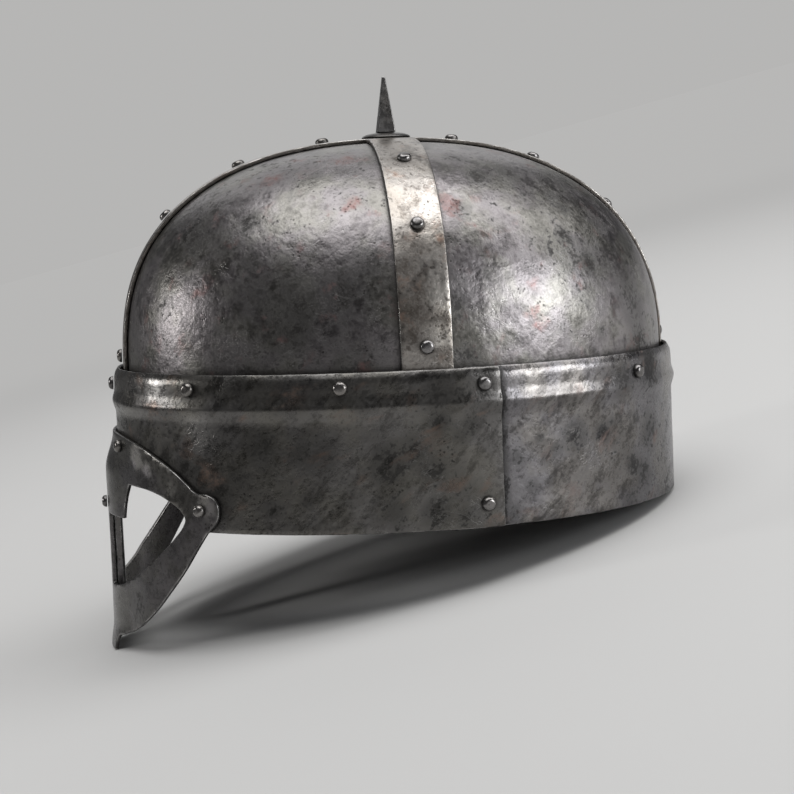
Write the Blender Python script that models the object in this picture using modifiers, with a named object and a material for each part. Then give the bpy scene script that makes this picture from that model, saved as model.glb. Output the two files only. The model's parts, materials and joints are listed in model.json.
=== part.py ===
"""Riveted iron helmet with a spectacle guard.

Four dome plates are held by a ridge band and two side bands. Below them runs a tall brow
band of two overlapping sheets with a raised bead, and the guard hangs at the front.
Every sheet starts as a flat grid or outline that is bent round the helmet's oval. Along
the oval, lengths run from the front centre to the back centre.
The helmet is shaped upright, with z = 0 at the lower rim, -Y to the front and +X to the
wearer's left. It is then leaned back until it rests on the guard's tip and on the rear
of its rim.
"""

import math

import bmesh
import bpy
from mathutils import Vector

# Oval of the brow band at its upper edge, outside the sheet
BROW_LENGTH = 0.244
BROW_WIDTH = 0.200
BROW_HEIGHT = 0.0636
BROW_SHEET = 0.0014
BEAD_SWELL = 0.0027
FRONT_SHEET_REACH = 0.2032
LAP_LENGTH = 0.0140
LAP_RISE_LENGTH = 0.0160
LAP_RIVET_INSET = 0.0068

# Opening for the face, in the front sheet of the brow band
FACE_HALF_SPAN = 0.0770
FACE_RISE = 0.0240

# Dome and its bands
DOME_RISE = 0.0921
PLATE_SHEET = 0.0014
BAND_SHEET = 0.0016
BAND_WIDTH = 0.0205
CROWN_SET_BACK = 0.0006
FRONT_FULLNESS = 2.44
BACK_FULLNESS = 2.33
CROWN_OPENING = 0.0030
PLATE_SEAM = 0.0006
PLATE_TUCK = 0.0095
BAND_TUCK = 0.0030

# Spectacle guard
GUARD_HALF_SPAN = 0.0881
GUARD_TOP = 0.0364
GUARD_TIP = 0.0587
GUARD_SHEET = 0.0016
NOSE_BULGE = 0.0040
NOSE_BULGE_REACH = 0.0340
NOSE_BULGE_FALL = 0.0170
TIP_CURL = 0.0015
TIP_CURL_LENGTH = 0.0120
NASAL_WIDTH = 0.0100
NASAL_DEPTH = 0.0038
NASAL_TOP = 0.0160
NASAL_END = 0.0500
NASAL_BEVEL = 0.0010

# Finial
DISC_RADIUS = 0.0107
DISC_HEIGHT = 0.0021
SPIKE_SIDE = 0.0079
SPIKE_TIP_SIDE = 0.0014
SPIKE_HEIGHT = 0.0242

# Rivets
RIVET_RADIUS = 0.0029
RIVET_HEIGHT = 0.0021
SMALL_RIVET_RADIUS = 0.0026

# Section of a rivet head, underside first
RIVET_SECTION = (
    # share of the radius, share of the height
    (1.00, 0.00),
    (0.90, 0.55),
    (0.48, 1.00),
)

# Section of the finial's disc, from its top centre round to its underside
DISC_SECTION = (
    # share of the radius, share of the height
    (0.00, 1.00),
    (0.45, 1.00),
    (0.78, 0.78),
    (1.00, 0.28),
    (1.00, 0.00),
    (0.00, 0.00),
)

# Gap left between touching pieces
SEAT = 0.0003

# Lower edge of the dome plates, inside the brow band, which turns out to meet it
PLATE_EDGE = (
    # share of the tuck, share of the way out to the brow band
    (0.00, 0.00),
    (0.40, 0.00),
    (0.70, 0.50),
    (1.00, 1.00),
)

# How finely the sheets are divided
OVAL_STEPS = 2400
DOME_COLUMNS = 13
DOME_ROWS = 11
BAND_ROWS = 22
BROW_STEP = 0.0100
GUARD_STEP = 0.0060
RIVET_SIDES = 12
DISC_SIDES = 24
CURVE_STEPS = 3

# How finely places are worked out
HALVINGS = 50
SLOPE_STEP = 0.00001
FRAME_STEP = 0.0008
MERGE_GAP = 0.00005
STRAIGHT_ANGLE = 0.01
STEEPEST_LEAN = math.radians(45)

# Section of the brow band, upper edge first
BROW_SECTION = (
    # share of the height, share of the bead's swell
    (1.000, -0.26),
    (0.975, 0.20),
    (0.940, 0.44),
    (0.850, 0.52),
    (0.815, 0.74),
    (0.785, 1.00),
    (0.750, 0.80),
    (0.705, 0.41),
    (0.000, 0.41),
)

# Upper edge of the face opening, from the centre outwards
FACE_EDGE = (
    # share of the half span, share of the rise, corner or smooth
    (0.00, 1.00, "corner"),
    (0.45, 1.00, "smooth"),
    (0.76, 0.79, "smooth"),
    (0.93, 0.50, "smooth"),
    (1.00, 0.16, "smooth"),
    (1.00, 0.00, "corner"),
)

# Half the guard's outline, from its upper centre round to its tip. Above the rim a height
# is a share of GUARD_TOP, below it a share of GUARD_TIP.
GUARD_OUTLINE = (
    # share of the half span, share of the height, corner or smooth
    (0.000, 1.000, "corner"),
    (0.284, 0.989, "smooth"),
    (0.465, 0.923, "smooth"),
    (0.602, 0.827, "smooth"),
    (0.757, 0.646, "smooth"),
    (0.826, 0.527, "smooth"),
    (0.878, 0.440, "smooth"),
    (0.941, 0.426, "smooth"),
    (0.986, 0.360, "smooth"),
    (1.000, 0.245, "smooth"),
    (0.990, 0.140, "smooth"),
    (0.957, 0.044, "smooth"),
    (0.930, -0.005, "corner"),
    (0.872, -0.117, "smooth"),
    (0.782, -0.288, "smooth"),
    (0.663, -0.470, "smooth"),
    (0.523, -0.647, "smooth"),
    (0.344, -0.794, "smooth"),
    (0.214, -0.860, "smooth"),
    (0.153, -0.894, "smooth"),
    (0.135, -0.939, "smooth"),
    (0.118, -1.000, "corner"),
    (0.000, -1.000, "corner"),
)

# Eye opening, from the nose strip's upper end round to its lower end
NOSE_STRIP = NASAL_WIDTH / 2 / GUARD_HALF_SPAN
EYE_OPENING = (
    # share of the half span, share of the height, corner or smooth
    (NOSE_STRIP, 0.016, "corner"),
    (0.275, 0.016, "corner"),
    (0.306, 0.240, "smooth"),
    (0.357, 0.436, "corner"),
    (0.586, 0.407, "smooth"),
    (0.715, 0.316, "smooth"),
    (0.788, 0.212, "smooth"),
    (0.807, 0.137, "smooth"),
    (0.798, 0.078, "smooth"),
    (0.736, -0.051, "smooth"),
    (0.644, -0.163, "smooth"),
    (0.552, -0.259, "smooth"),
    (0.408, -0.375, "smooth"),
    (0.287, -0.455, "smooth"),
    (0.160, -0.506, "smooth"),
    (NOSE_STRIP, -0.518, "corner"),
)

# Rivets on the bands, in degrees of turn from the brow up to the crown
FRONT_RIDGE_RIVET_TURNS = (1.5, 38.8, 61.4, 80.0)
BACK_RIDGE_RIVET_TURNS = (1.5, 37.5, 60.2, 78.8)
SIDE_RIVET_TURNS = (3.3, 33.0, 59.7)

# Rivets on the brow band, each on both sides unless it lies at the centre
BROW_RIVETS = (
    # name, share of half the oval's length, share of the brow's height
    ("brow_rivet_front", 0.0, 0.89),
    ("brow_rivet_a", 0.214, 0.905),
    ("brow_rivet_b", 0.402, 0.905),
    ("brow_rivet_c", 0.787, 0.873),
)

# Rivets through the lap of the brow band's two sheets, on both sides
LAP_RIVETS = (
    # name, share of the brow's height
    ("brow_rivet_lap", 0.897),
    ("seam_rivet", 0.150),
)

# Rivets on the guard, each on both sides unless it lies at the centre
GUARD_RIVETS = (
    # name, share of the half span, share of the height above the rim
    ("guard_rivet_nose", 0.0, 0.135),
    ("guard_rivet_brow", 0.262, 0.866),
    ("guard_rivet_lug", 0.898, 0.247),
)

HALF_LENGTH = BROW_LENGTH / 2
HALF_WIDTH = BROW_WIDTH / 2
BAND_REACH = SEAT + BAND_SHEET
BROW_EDGE_INSET = BEAD_SWELL * -BROW_SECTION[0][1] + BROW_SHEET
DOME_INSET = BROW_EDGE_INSET + SEAT + BAND_REACH
DOME_LENGTH = HALF_LENGTH - DOME_INSET
DOME_WIDTH = HALF_WIDTH - DOME_INSET
WALL_SWELL = BEAD_SWELL * BROW_SECTION[-1][1]
GUARD_OFFSET = WALL_SWELL + SEAT + GUARD_SHEET

SIDES = (("left", 1), ("right", -1))
IRON = {
    # colour, roughness
    "dome_iron": ((0.17, 0.165, 0.16), 0.42),
    "band_iron": ((0.26, 0.25, 0.235), 0.38),
    "brow_iron": ((0.12, 0.118, 0.115), 0.46),
    "guard_iron": ((0.11, 0.11, 0.112), 0.44),
    "rivet_iron": ((0.14, 0.138, 0.135), 0.36),
    "finial_iron": ((0.18, 0.175, 0.17), 0.40),
}


def smooth_step(value):
    """Ease from 0 to 1."""
    value = min(max(value, 0.0), 1.0)
    return value * value * (3 - 2 * value)


def clear_scene():
    for thing in list(bpy.data.objects):
        bpy.data.objects.remove(thing, do_unlink=True)


def iron(slot):
    """The iron of one kind of piece."""
    found = bpy.data.materials.get(slot)
    if found:
        return found
    colour, roughness = IRON[slot]
    material = bpy.data.materials.new(slot)
    material.use_nodes = True
    shader = material.node_tree.nodes["Principled BSDF"]
    shader.inputs["Base Color"].default_value = (*colour, 1)
    shader.inputs["Metallic"].default_value = 1.0
    shader.inputs["Roughness"].default_value = roughness
    return material


def add_object(name, mesh, slot, group, root):
    piece = bpy.data.objects.new(name, mesh)
    piece.data.materials.append(iron(slot))
    piece.parent = root
    group.objects.link(piece)
    return piece


def solidify(piece, thickness, outwards):
    """Give an open sheet its thickness, to the side its faces point to or away from it."""
    modifier = piece.modifiers.new("sheet thickness", "SOLIDIFY")
    modifier.thickness = thickness
    modifier.offset = 1 if outwards else -1
    modifier.use_even_offset = True


def soften(mesh, degrees=40):
    mesh.shade_smooth()
    mesh.set_sharp_from_angle(angle=math.radians(degrees))


def oval_table():
    """Lengths along half the oval, with the point and the outward direction at each."""
    rows = []
    length = 0.0
    last = None
    for step in range(OVAL_STEPS + 1):
        turn = math.pi * step / OVAL_STEPS
        point = Vector((HALF_WIDTH * math.sin(turn), -HALF_LENGTH * math.cos(turn), 0))
        out = Vector((point.x / HALF_WIDTH**2, point.y / HALF_LENGTH**2, 0)).normalized()
        if last is not None:
            length += (point - last).length
        rows.append((length, point, out))
        last = point
    return rows


OVAL = oval_table()
HALF_OVAL = OVAL[-1][0]


def on_oval(along, height, offset):
    """A point at a length along the oval, pushed out from it by offset."""
    side = -1 if along < 0 else 1
    target = min(abs(along), HALF_OVAL)
    low, high = 0, len(OVAL) - 1
    while high - low > 1:
        middle = (low + high) // 2
        if OVAL[middle][0] <= target:
            low = middle
        else:
            high = middle
    share = (target - OVAL[low][0]) / (OVAL[high][0] - OVAL[low][0])
    point = OVAL[low][1].lerp(OVAL[high][1], share)
    out = OVAL[low][2].lerp(OVAL[high][2], share).normalized()
    place = point + out * offset
    return Vector((side * place.x, place.y, height))


def section_offset(height):
    """How far the brow band's outside stands from the oval at a height."""
    share = height / BROW_HEIGHT
    for (high, swell_high), (low, swell_low) in zip(BROW_SECTION, BROW_SECTION[1:]):
        if share >= low:
            part = (share - low) / (high - low)
            return BEAD_SWELL * (swell_low + (swell_high - swell_low) * part)
    return WALL_SWELL


def section_slant(height):
    """How much the brow band's slope stretches its thickness, measured level, at a height."""
    share = height / BROW_HEIGHT
    margin = MERGE_GAP / BROW_HEIGHT
    steepest = 0.0
    for (high, swell_high), (low, swell_low) in zip(BROW_SECTION, BROW_SECTION[1:]):
        if low - margin <= share <= high + margin:
            slope = BEAD_SWELL * (swell_high - swell_low) / ((high - low) * BROW_HEIGHT)
            steepest = max(steepest, abs(slope))
    return math.hypot(1, steepest)


def lap_lift(along, height):
    """The front sheet rises over the end of the back sheet."""
    start = FRONT_SHEET_REACH - LAP_LENGTH - LAP_RISE_LENGTH
    full_lift = (BROW_SHEET + SEAT) * section_slant(height)
    return full_lift * smooth_step((abs(along) - start) / LAP_RISE_LENGTH)


def brow_front_point(along, height):
    return on_oval(along, height, section_offset(height) + lap_lift(along, height))


def brow_back_point(along, height):
    return on_oval(along, height, section_offset(height))


def guard_height(share):
    return share * (GUARD_TOP if share > 0 else GUARD_TIP)


def guard_point(along, height):
    """The guard's outside: close on the brow band, pushed out over the nose and at the tip."""
    across = smooth_step(1 - abs(along) / NOSE_BULGE_REACH)
    down = smooth_step((GUARD_TOP - height) / NOSE_BULGE_FALL)
    curl = smooth_step((TIP_CURL_LENGTH - GUARD_TIP - height) / TIP_CURL_LENGTH)
    return on_oval(along, height, GUARD_OFFSET + NOSE_BULGE * across * down + TIP_CURL * curl)


def dome_fullness(ahead):
    """The dome is a little fuller at the front, ahead = -1, than at the back, ahead = 1."""
    blend = smooth_step(0.5 + ahead / 2)
    return FRONT_FULLNESS + (BACK_FULLNESS - FRONT_FULLNESS) * blend


def dome_value(point):
    """Above 1 outside the dome, below 1 inside it."""
    x = point.x / DOME_WIDTH
    y = (point.y - CROWN_SET_BACK) / DOME_LENGTH
    z = max(point.z - BROW_HEIGHT, 0.0) / DOME_RISE
    radius = math.hypot(x, y)
    power = dome_fullness(y / max(radius, 1e-9))
    return radius**power + z**power


def dome_point(bearing, turn):
    """On the dome's outside: bearing from the front round to the left, turn up from the brow."""
    ahead = -math.cos(bearing)
    power = dome_fullness(ahead)
    radius = math.cos(turn) ** (2 / power)
    rise = math.sin(turn) ** (2 / power)
    x = DOME_WIDTH * radius * math.sin(bearing)
    y = DOME_LENGTH * radius * ahead + CROWN_SET_BACK
    return Vector((x, y, BROW_HEIGHT + DOME_RISE * rise))


def dome_normal(point):
    """Outward direction of the dome near a point, by differences."""
    base = dome_value(point)
    axes = (Vector((1, 0, 0)), Vector((0, 1, 0)), Vector((0, 0, 1)))
    slope = Vector([dome_value(point + axis * SLOPE_STEP) - base for axis in axes])
    return slope.normalized()


def over_dome(bearing, turn, sideways, gap):
    """A point beside the line up one bearing, laid on the dome and lifted by gap."""
    if turn < 0:
        start = dome_point(bearing, 0) + Vector((0, 0, turn * BAND_TUCK))
    else:
        start = dome_point(bearing, turn)
    out = dome_normal(start)
    if turn < 0:
        out = Vector((out.x, out.y, 0)).normalized()
    beside = Vector((math.cos(bearing), math.sin(bearing), 0))
    start = start + beside * sideways
    near, far = -BAND_WIDTH / 2, BAND_WIDTH / 2
    for _ in range(HALVINGS):
        middle = (near + far) / 2
        if dome_value(start + out * middle) > 1:
            far = middle
        else:
            near = middle
    return start + out * (near + gap)


def grid_sheet(name, columns, rows, place):
    """A grid whose corners run from 0 to 1 both ways, bent by place."""
    shape = bmesh.new()
    bmesh.ops.create_grid(shape, x_segments=columns, y_segments=rows, size=0.5)
    for corner in shape.verts:
        corner.co = place(corner.co.x + 0.5, corner.co.y + 0.5)
    mesh = bpy.data.meshes.new(name)
    shape.to_mesh(mesh)
    shape.free()
    return mesh


def face_outwards(mesh):
    """Turn every face away from the helmet's inside."""
    shape = bmesh.new()
    shape.from_mesh(mesh)
    bmesh.ops.recalc_face_normals(shape, faces=shape.faces)
    centre = Vector((0, 0, BROW_HEIGHT))
    inwards = sum(face.normal.dot(face.calc_center_median() - centre) for face in shape.faces)
    if inwards < 0:
        bmesh.ops.reverse_faces(shape, faces=shape.faces)
    shape.to_mesh(mesh)
    shape.free()


def flat_outline(name, loops):
    """A flat filled mesh from closed outlines of points marked corner or smooth."""
    curve = bpy.data.curves.new(name, "CURVE")
    curve.dimensions = "2D"
    curve.fill_mode = "BOTH"
    curve.resolution_u = CURVE_STEPS
    for points in loops:
        spline = curve.splines.new("BEZIER")
        spline.bezier_points.add(len(points) - 1)
        for knot, (along, height, kind) in zip(spline.bezier_points, points):
            knot.co = (along, height, 0)
            handle = "VECTOR" if kind == "corner" else "AUTO"
            knot.handle_left_type = handle
            knot.handle_right_type = handle
        spline.use_cyclic_u = True
    holder = bpy.data.objects.new(name, curve)
    bpy.context.scene.collection.objects.link(holder)
    bpy.context.view_layer.update()
    graph = bpy.context.evaluated_depsgraph_get()
    mesh = bpy.data.meshes.new_from_object(holder.evaluated_get(graph))
    bpy.data.objects.remove(holder, do_unlink=True)
    bpy.data.curves.remove(curve)
    return mesh


def divide_and_bend(mesh, lengths, heights, place):
    """Cut a flat mesh along lines so that it can bend, then bend it by place."""
    shape = bmesh.new()
    shape.from_mesh(mesh)
    bmesh.ops.remove_doubles(shape, verts=shape.verts, dist=MERGE_GAP)
    bmesh.ops.dissolve_limit(shape, angle_limit=STRAIGHT_ANGLE, verts=shape.verts, edges=shape.edges)
    for line in lengths:
        parts = shape.verts[:] + shape.edges[:] + shape.faces[:]
        bmesh.ops.bisect_plane(shape, geom=parts, plane_co=(line, 0, 0), plane_no=(1, 0, 0))
    for line in heights:
        parts = shape.verts[:] + shape.edges[:] + shape.faces[:]
        bmesh.ops.bisect_plane(shape, geom=parts, plane_co=(0, line, 0), plane_no=(0, 1, 0))
    bmesh.ops.remove_doubles(shape, verts=shape.verts, dist=MERGE_GAP)
    for corner in shape.verts:
        corner.co = place(corner.co.x, corner.co.y)
    shape.to_mesh(mesh)
    shape.free()


def steps_between(start, end, step):
    """Evenly spaced lines inside a stretch, about one step apart."""
    count = max(1, round((end - start) / step))
    return [start + (end - start) * i / count for i in range(1, count)]


def mirror_x(piece):
    modifier = piece.modifiers.new("other half", "MIRROR")
    modifier.use_axis = (True, False, False)
    modifier.use_clip = True
    modifier.merge_threshold = 0.0001


def plate_edge_out(tuck):
    """How far the plates' lower edge has turned out, from the dome to the brow band's inside."""
    share, part = PLATE_EDGE[tuck]
    inside = section_offset(BROW_HEIGHT - share * PLATE_TUCK) - BROW_SHEET - SEAT
    return (inside + DOME_INSET - CROWN_SET_BACK) * part


def dome_plate(name, to_back, side, group, root):
    """One quarter of the dome, from inside the brow band up to the crown's small opening."""
    edge_rows = len(PLATE_EDGE) - 1
    crown = math.acos((CROWN_OPENING / DOME_WIDTH) ** (FRONT_FULLNESS / 2))

    def place(across, up):
        row = round(up * (DOME_ROWS + edge_rows)) - edge_rows
        turn = max(row, 0) / DOME_ROWS * crown
        radius = math.cos(turn) ** (2 / FRONT_FULLNESS)
        first = math.asin(PLATE_SEAM / 2 / (DOME_WIDTH * radius))
        last = math.acos(PLATE_SEAM / 2 / (DOME_LENGTH * radius))
        bearing = first + (last - first) * across
        if to_back:
            bearing = math.pi - bearing
        point = dome_point(bearing, turn)
        if row < 0:
            out = dome_normal(point)
            level = Vector((out.x, out.y, 0)).normalized()
            point += level * plate_edge_out(-row)
            point.z -= PLATE_EDGE[-row][0] * PLATE_TUCK
        point.x *= side
        return point

    mesh = grid_sheet(name, DOME_COLUMNS, DOME_ROWS + edge_rows, place)
    face_outwards(mesh)
    soften(mesh)
    piece = add_object(name, mesh, "dome_iron", group, root)
    solidify(piece, PLATE_SHEET, False)


def band_turn(step, top):
    """Turn up the dome at a row of a band, or -1 at its tucked end."""
    if step < 0:
        return step
    return step / BAND_ROWS * top


def ridge_band(group, root):
    """The strip over the top from the brow to the nape."""
    rows = BAND_ROWS + 1

    def place(along, across):
        sideways = (across - 0.5) * BAND_WIDTH
        step = along * 2 * rows
        if step <= rows:
            return over_dome(0, band_turn(step - 1, math.pi / 2), sideways, SEAT)
        return over_dome(math.pi, band_turn(2 * rows - step - 1, math.pi / 2), -sideways, SEAT)

    mesh = grid_sheet("ridge_band", 2 * rows, 2, place)
    face_outwards(mesh)
    soften(mesh)
    piece = add_object("ridge_band", mesh, "band_iron", group, root)
    solidify(piece, BAND_SHEET, True)


def side_band(name, side, group, root):
    """The strip from the ridge band's edge down to the brow."""
    edge = BAND_WIDTH / 2 + SEAT
    top = math.acos((edge / DOME_WIDTH) ** (FRONT_FULLNESS / 2))

    def place(along, across):
        turn = band_turn(along * (BAND_ROWS + 1) - 1, top)
        point = over_dome(math.pi / 2, turn, (across - 0.5) * BAND_WIDTH, SEAT)
        point.x = side * max(point.x, edge)
        return point

    mesh = grid_sheet(name, BAND_ROWS + 1, 2, place)
    face_outwards(mesh)
    soften(mesh)
    piece = add_object(name, mesh, "band_iron", group, root)
    solidify(piece, BAND_SHEET, True)


def bend_brow(mesh, start, end, place):
    """Cut a flat brow sheet along its length and at its section's heights, then bend it."""
    heights = [share * BROW_HEIGHT for share, _ in BROW_SECTION[1:-1]]
    divide_and_bend(mesh, steps_between(start, end, BROW_STEP), heights, place)


def brow_front(group, root):
    """The front sheet, both halves, with the opening for the face."""
    face = [(along * FACE_HALF_SPAN, rise * FACE_RISE, kind) for along, rise, kind in FACE_EDGE]
    loop = [
        (FRONT_SHEET_REACH, 0, "corner"),
        (FRONT_SHEET_REACH, BROW_HEIGHT, "corner"),
        (0, BROW_HEIGHT, "corner"),
    ]
    mesh = flat_outline("brow_band_front", [face + loop])
    bend_brow(mesh, 0, FRONT_SHEET_REACH, brow_front_point)
    face_outwards(mesh)
    soften(mesh)
    piece = add_object("brow_band_front", mesh, "brow_iron", group, root)
    mirror_x(piece)
    solidify(piece, BROW_SHEET, False)


def brow_back(group, root):
    """The back sheet, both halves, whose ends lie under the front sheet."""
    start = FRONT_SHEET_REACH - LAP_LENGTH
    loop = [
        (start, 0, "corner"),
        (HALF_OVAL, 0, "corner"),
        (HALF_OVAL, BROW_HEIGHT, "corner"),
        (start, BROW_HEIGHT, "corner"),
    ]
    mesh = flat_outline("brow_band_back", [loop])
    bend_brow(mesh, start, HALF_OVAL, brow_back_point)
    face_outwards(mesh)
    soften(mesh)
    piece = add_object("brow_band_back", mesh, "brow_iron", group, root)
    mirror_x(piece)
    solidify(piece, BROW_SHEET, False)


def guard(group, root):
    """The bent sheet with both eye openings."""
    outline = [(along * GUARD_HALF_SPAN, guard_height(up), kind) for along, up, kind in GUARD_OUTLINE]
    eye = [(along * GUARD_HALF_SPAN, guard_height(up), kind) for along, up, kind in EYE_OPENING]
    mesh = flat_outline("spectacle_guard", [outline, eye])
    lengths = steps_between(0, GUARD_HALF_SPAN, GUARD_STEP)
    bulge_end = GUARD_TOP - NOSE_BULGE_FALL
    bulge = [bulge_end] + steps_between(bulge_end, GUARD_TOP, GUARD_STEP)
    curl = [TIP_CURL_LENGTH - GUARD_TIP, TIP_CURL_LENGTH / 2 - GUARD_TIP]
    divide_and_bend(mesh, lengths, bulge + curl, guard_point)
    face_outwards(mesh)
    soften(mesh)
    piece = add_object("spectacle_guard", mesh, "guard_iron", group, root)
    mirror_x(piece)
    solidify(piece, GUARD_SHEET, False)


def nasal_bar(group, root):
    """The square bar behind the guard's nose strip."""
    shape = bmesh.new()
    bmesh.ops.create_cube(shape, size=1)
    half = NASAL_WIDTH / 2 - NASAL_BEVEL
    face = -guard_point(half, NASAL_TOP).y - GUARD_SHEET - SEAT
    height = NASAL_TOP + NASAL_END
    for corner in shape.verts:
        corner.co.x *= NASAL_WIDTH
        corner.co.y = corner.co.y * NASAL_DEPTH - face + NASAL_DEPTH / 2
        corner.co.z = corner.co.z * height + NASAL_TOP - height / 2
    mesh = bpy.data.meshes.new("nasal_bar")
    shape.to_mesh(mesh)
    shape.free()
    soften(mesh, 30)
    piece = add_object("nasal_bar", mesh, "guard_iron", group, root)
    bevel = piece.modifiers.new("eased edges", "BEVEL")
    bevel.width = NASAL_BEVEL
    bevel.segments = 2


def crown_height():
    """Top of the ridge band at the crown."""
    return BROW_HEIGHT + DOME_RISE + BAND_REACH


def finial_disc(group, root):
    """The domed washer under the spike, turned from its half section."""
    mesh = bpy.data.meshes.new("finial_disc")
    base = crown_height() + SEAT
    points = [(share * DISC_RADIUS, 0, base + up * DISC_HEIGHT) for share, up in DISC_SECTION]
    mesh.from_pydata(points, [(i, i + 1) for i in range(len(points) - 1)], [])
    piece = add_object("finial_disc", mesh, "finial_iron", group, root)
    piece.location.y = CROWN_SET_BACK
    screw = piece.modifiers.new("turned", "SCREW")
    screw.steps = DISC_SIDES
    screw.render_steps = DISC_SIDES
    screw.use_merge_vertices = True
    screw.merge_threshold = MERGE_GAP


def finial_spike(group, root):
    """The four sided spike."""
    shape = bmesh.new()
    corner_reach = math.sqrt(2) / 2
    bmesh.ops.create_cone(shape, cap_ends=True, segments=4, radius1=SPIKE_SIDE * corner_reach,
                          radius2=SPIKE_TIP_SIDE * corner_reach, depth=SPIKE_HEIGHT)
    turn = math.pi / 4
    for corner in shape.verts:
        x, y = corner.co.x, corner.co.y
        corner.co.x = x * math.cos(turn) - y * math.sin(turn)
        corner.co.y = x * math.sin(turn) + y * math.cos(turn)
    mesh = bpy.data.meshes.new("finial_spike")
    shape.to_mesh(mesh)
    shape.free()
    piece = add_object("finial_spike", mesh, "finial_iron", group, root)
    base = crown_height() + SEAT + DISC_HEIGHT + SEAT
    piece.location = (0, CROWN_SET_BACK, base + SPIKE_HEIGHT / 2)


def rivet_mesh(name, radius):
    """A low domed head with its flat underside at z = 0."""
    shape = bmesh.new()
    bmesh.ops.create_cone(shape, cap_ends=True, segments=RIVET_SIDES, radius1=radius,
                          radius2=radius, depth=1)
    bmesh.ops.bisect_plane(shape, geom=shape.verts[:] + shape.edges[:] + shape.faces[:],
                           plane_co=(0, 0, 0), plane_no=(0, 0, 1))
    for corner in shape.verts:
        share, up = RIVET_SECTION[round(corner.co.z * 2) + 1]
        corner.co.x *= share
        corner.co.y *= share
        corner.co.z = up * RIVET_HEIGHT
    mesh = bpy.data.meshes.new(name)
    shape.to_mesh(mesh)
    shape.free()
    soften(mesh, 50)
    return mesh


def set_rivet(name, mesh, point, out, group, root):
    """Seat a head on a sheet, with its underside clear of it."""
    piece = add_object(name, mesh, "rivet_iron", group, root)
    piece.rotation_mode = "QUATERNION"
    piece.rotation_quaternion = out.to_track_quat("Z", "Y")
    piece.location = point + out * SEAT


def sheet_frame(place, along, height):
    """A point of a bent sheet and the direction that it faces there."""
    point = place(along, height)
    across = place(along + FRAME_STEP, height) - place(along - FRAME_STEP, height)
    up = place(along, height + FRAME_STEP) - place(along, height - FRAME_STEP)
    return point, across.cross(up).normalized()


def band_rivets(mesh, group, root):
    for place, bearing, turns in (
        ("front", 0, FRONT_RIDGE_RIVET_TURNS),
        ("back", math.pi, BACK_RIDGE_RIVET_TURNS),
    ):
        for index, degrees in enumerate(turns):
            point, out = band_frame(bearing, math.radians(degrees))
            set_rivet(f"ridge_rivet_{place}_{index + 1}", mesh, point, out, group, root)
    for side_name, side in SIDES:
        for index, degrees in enumerate(SIDE_RIVET_TURNS):
            point, out = band_frame(math.pi / 2, math.radians(degrees))
            point.x *= side
            out.x *= side
            set_rivet(f"side_rivet_{side_name}_{index + 1}", mesh, point, out, group, root)


def band_frame(bearing, turn):
    """The top of a band at a turn, and the direction that it faces there."""
    point = over_dome(bearing, turn, 0, 0)
    out = dome_normal(point)
    return point + out * BAND_REACH, out


def sheet_rivets(rows, mesh, place, scale_along, scale_up, group, root):
    """Rivets of a bent sheet, mirrored to both sides."""
    for name, along, up in rows:
        sides = (("", 1),) if along == 0 else tuple((f"_{word}", side) for word, side in SIDES)
        for word, side in sides:
            point, out = sheet_frame(place, along * scale_along, up * scale_up)
            point.x *= side
            out.x *= side
            set_rivet(name + word, mesh, point, out, group, root)


def brow_outside(along, height):
    """The outermost brow sheet at a length."""
    if abs(along) <= FRONT_SHEET_REACH:
        return brow_front_point(along, height)
    return brow_back_point(along, height)


def rest_on_floor(root, group):
    """Lean the helmet back onto the guard's tip and the rear rim, centred over the origin."""
    bpy.context.view_layer.update()
    graph = bpy.context.evaluated_depsgraph_get()
    points = []
    for piece in group.objects:
        if piece.type != "MESH":
            continue
        seen = piece.evaluated_get(graph)
        mesh = seen.to_mesh()
        points += [seen.matrix_world @ corner.co for corner in mesh.vertices]
        seen.to_mesh_clear()

    def lowest(lean, front):
        return min(p.y * math.sin(lean) + p.z * math.cos(lean) for p in points
                   if (p.y < 0) == front)

    flat, steep = 0.0, -STEEPEST_LEAN
    for _ in range(HALVINGS):
        lean = (flat + steep) / 2
        if lowest(lean, True) < lowest(lean, False):
            flat = lean
        else:
            steep = lean
    ys = [p.y * math.cos(lean) - p.z * math.sin(lean) for p in points]
    root.rotation_euler.x = lean
    root.location.y = -(min(ys) + max(ys)) / 2
    root.location.z = -lowest(lean, True)


def build():
    clear_scene()
    group = bpy.data.collections.new("spectacle_helmet")
    bpy.context.scene.collection.children.link(group)
    root = bpy.data.objects.new("helmet_root", None)
    group.objects.link(root)
    for side_name, side in SIDES:
        dome_plate(f"dome_plate_front_{side_name}", False, side, group, root)
        dome_plate(f"dome_plate_back_{side_name}", True, side, group, root)
        side_band(f"side_band_{side_name}", side, group, root)
    ridge_band(group, root)
    brow_front(group, root)
    brow_back(group, root)
    guard(group, root)
    nasal_bar(group, root)
    finial_disc(group, root)
    finial_spike(group, root)
    head = rivet_mesh("rivet_head", RIVET_RADIUS)
    small_head = rivet_mesh("small_rivet_head", SMALL_RIVET_RADIUS)
    band_rivets(head, group, root)
    sheet_rivets(BROW_RIVETS, head, brow_outside, HALF_OVAL, BROW_HEIGHT, group, root)
    lap = FRONT_SHEET_REACH - LAP_RIVET_INSET
    lap_rows = [(name, lap / HALF_OVAL, up) for name, up in LAP_RIVETS]
    sheet_rivets(lap_rows, head, brow_front_point, HALF_OVAL, BROW_HEIGHT, group, root)
    sheet_rivets(GUARD_RIVETS, small_head, guard_point, GUARD_HALF_SPAN, GUARD_TOP, group, root)
    rest_on_floor(root, group)


build()
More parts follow.
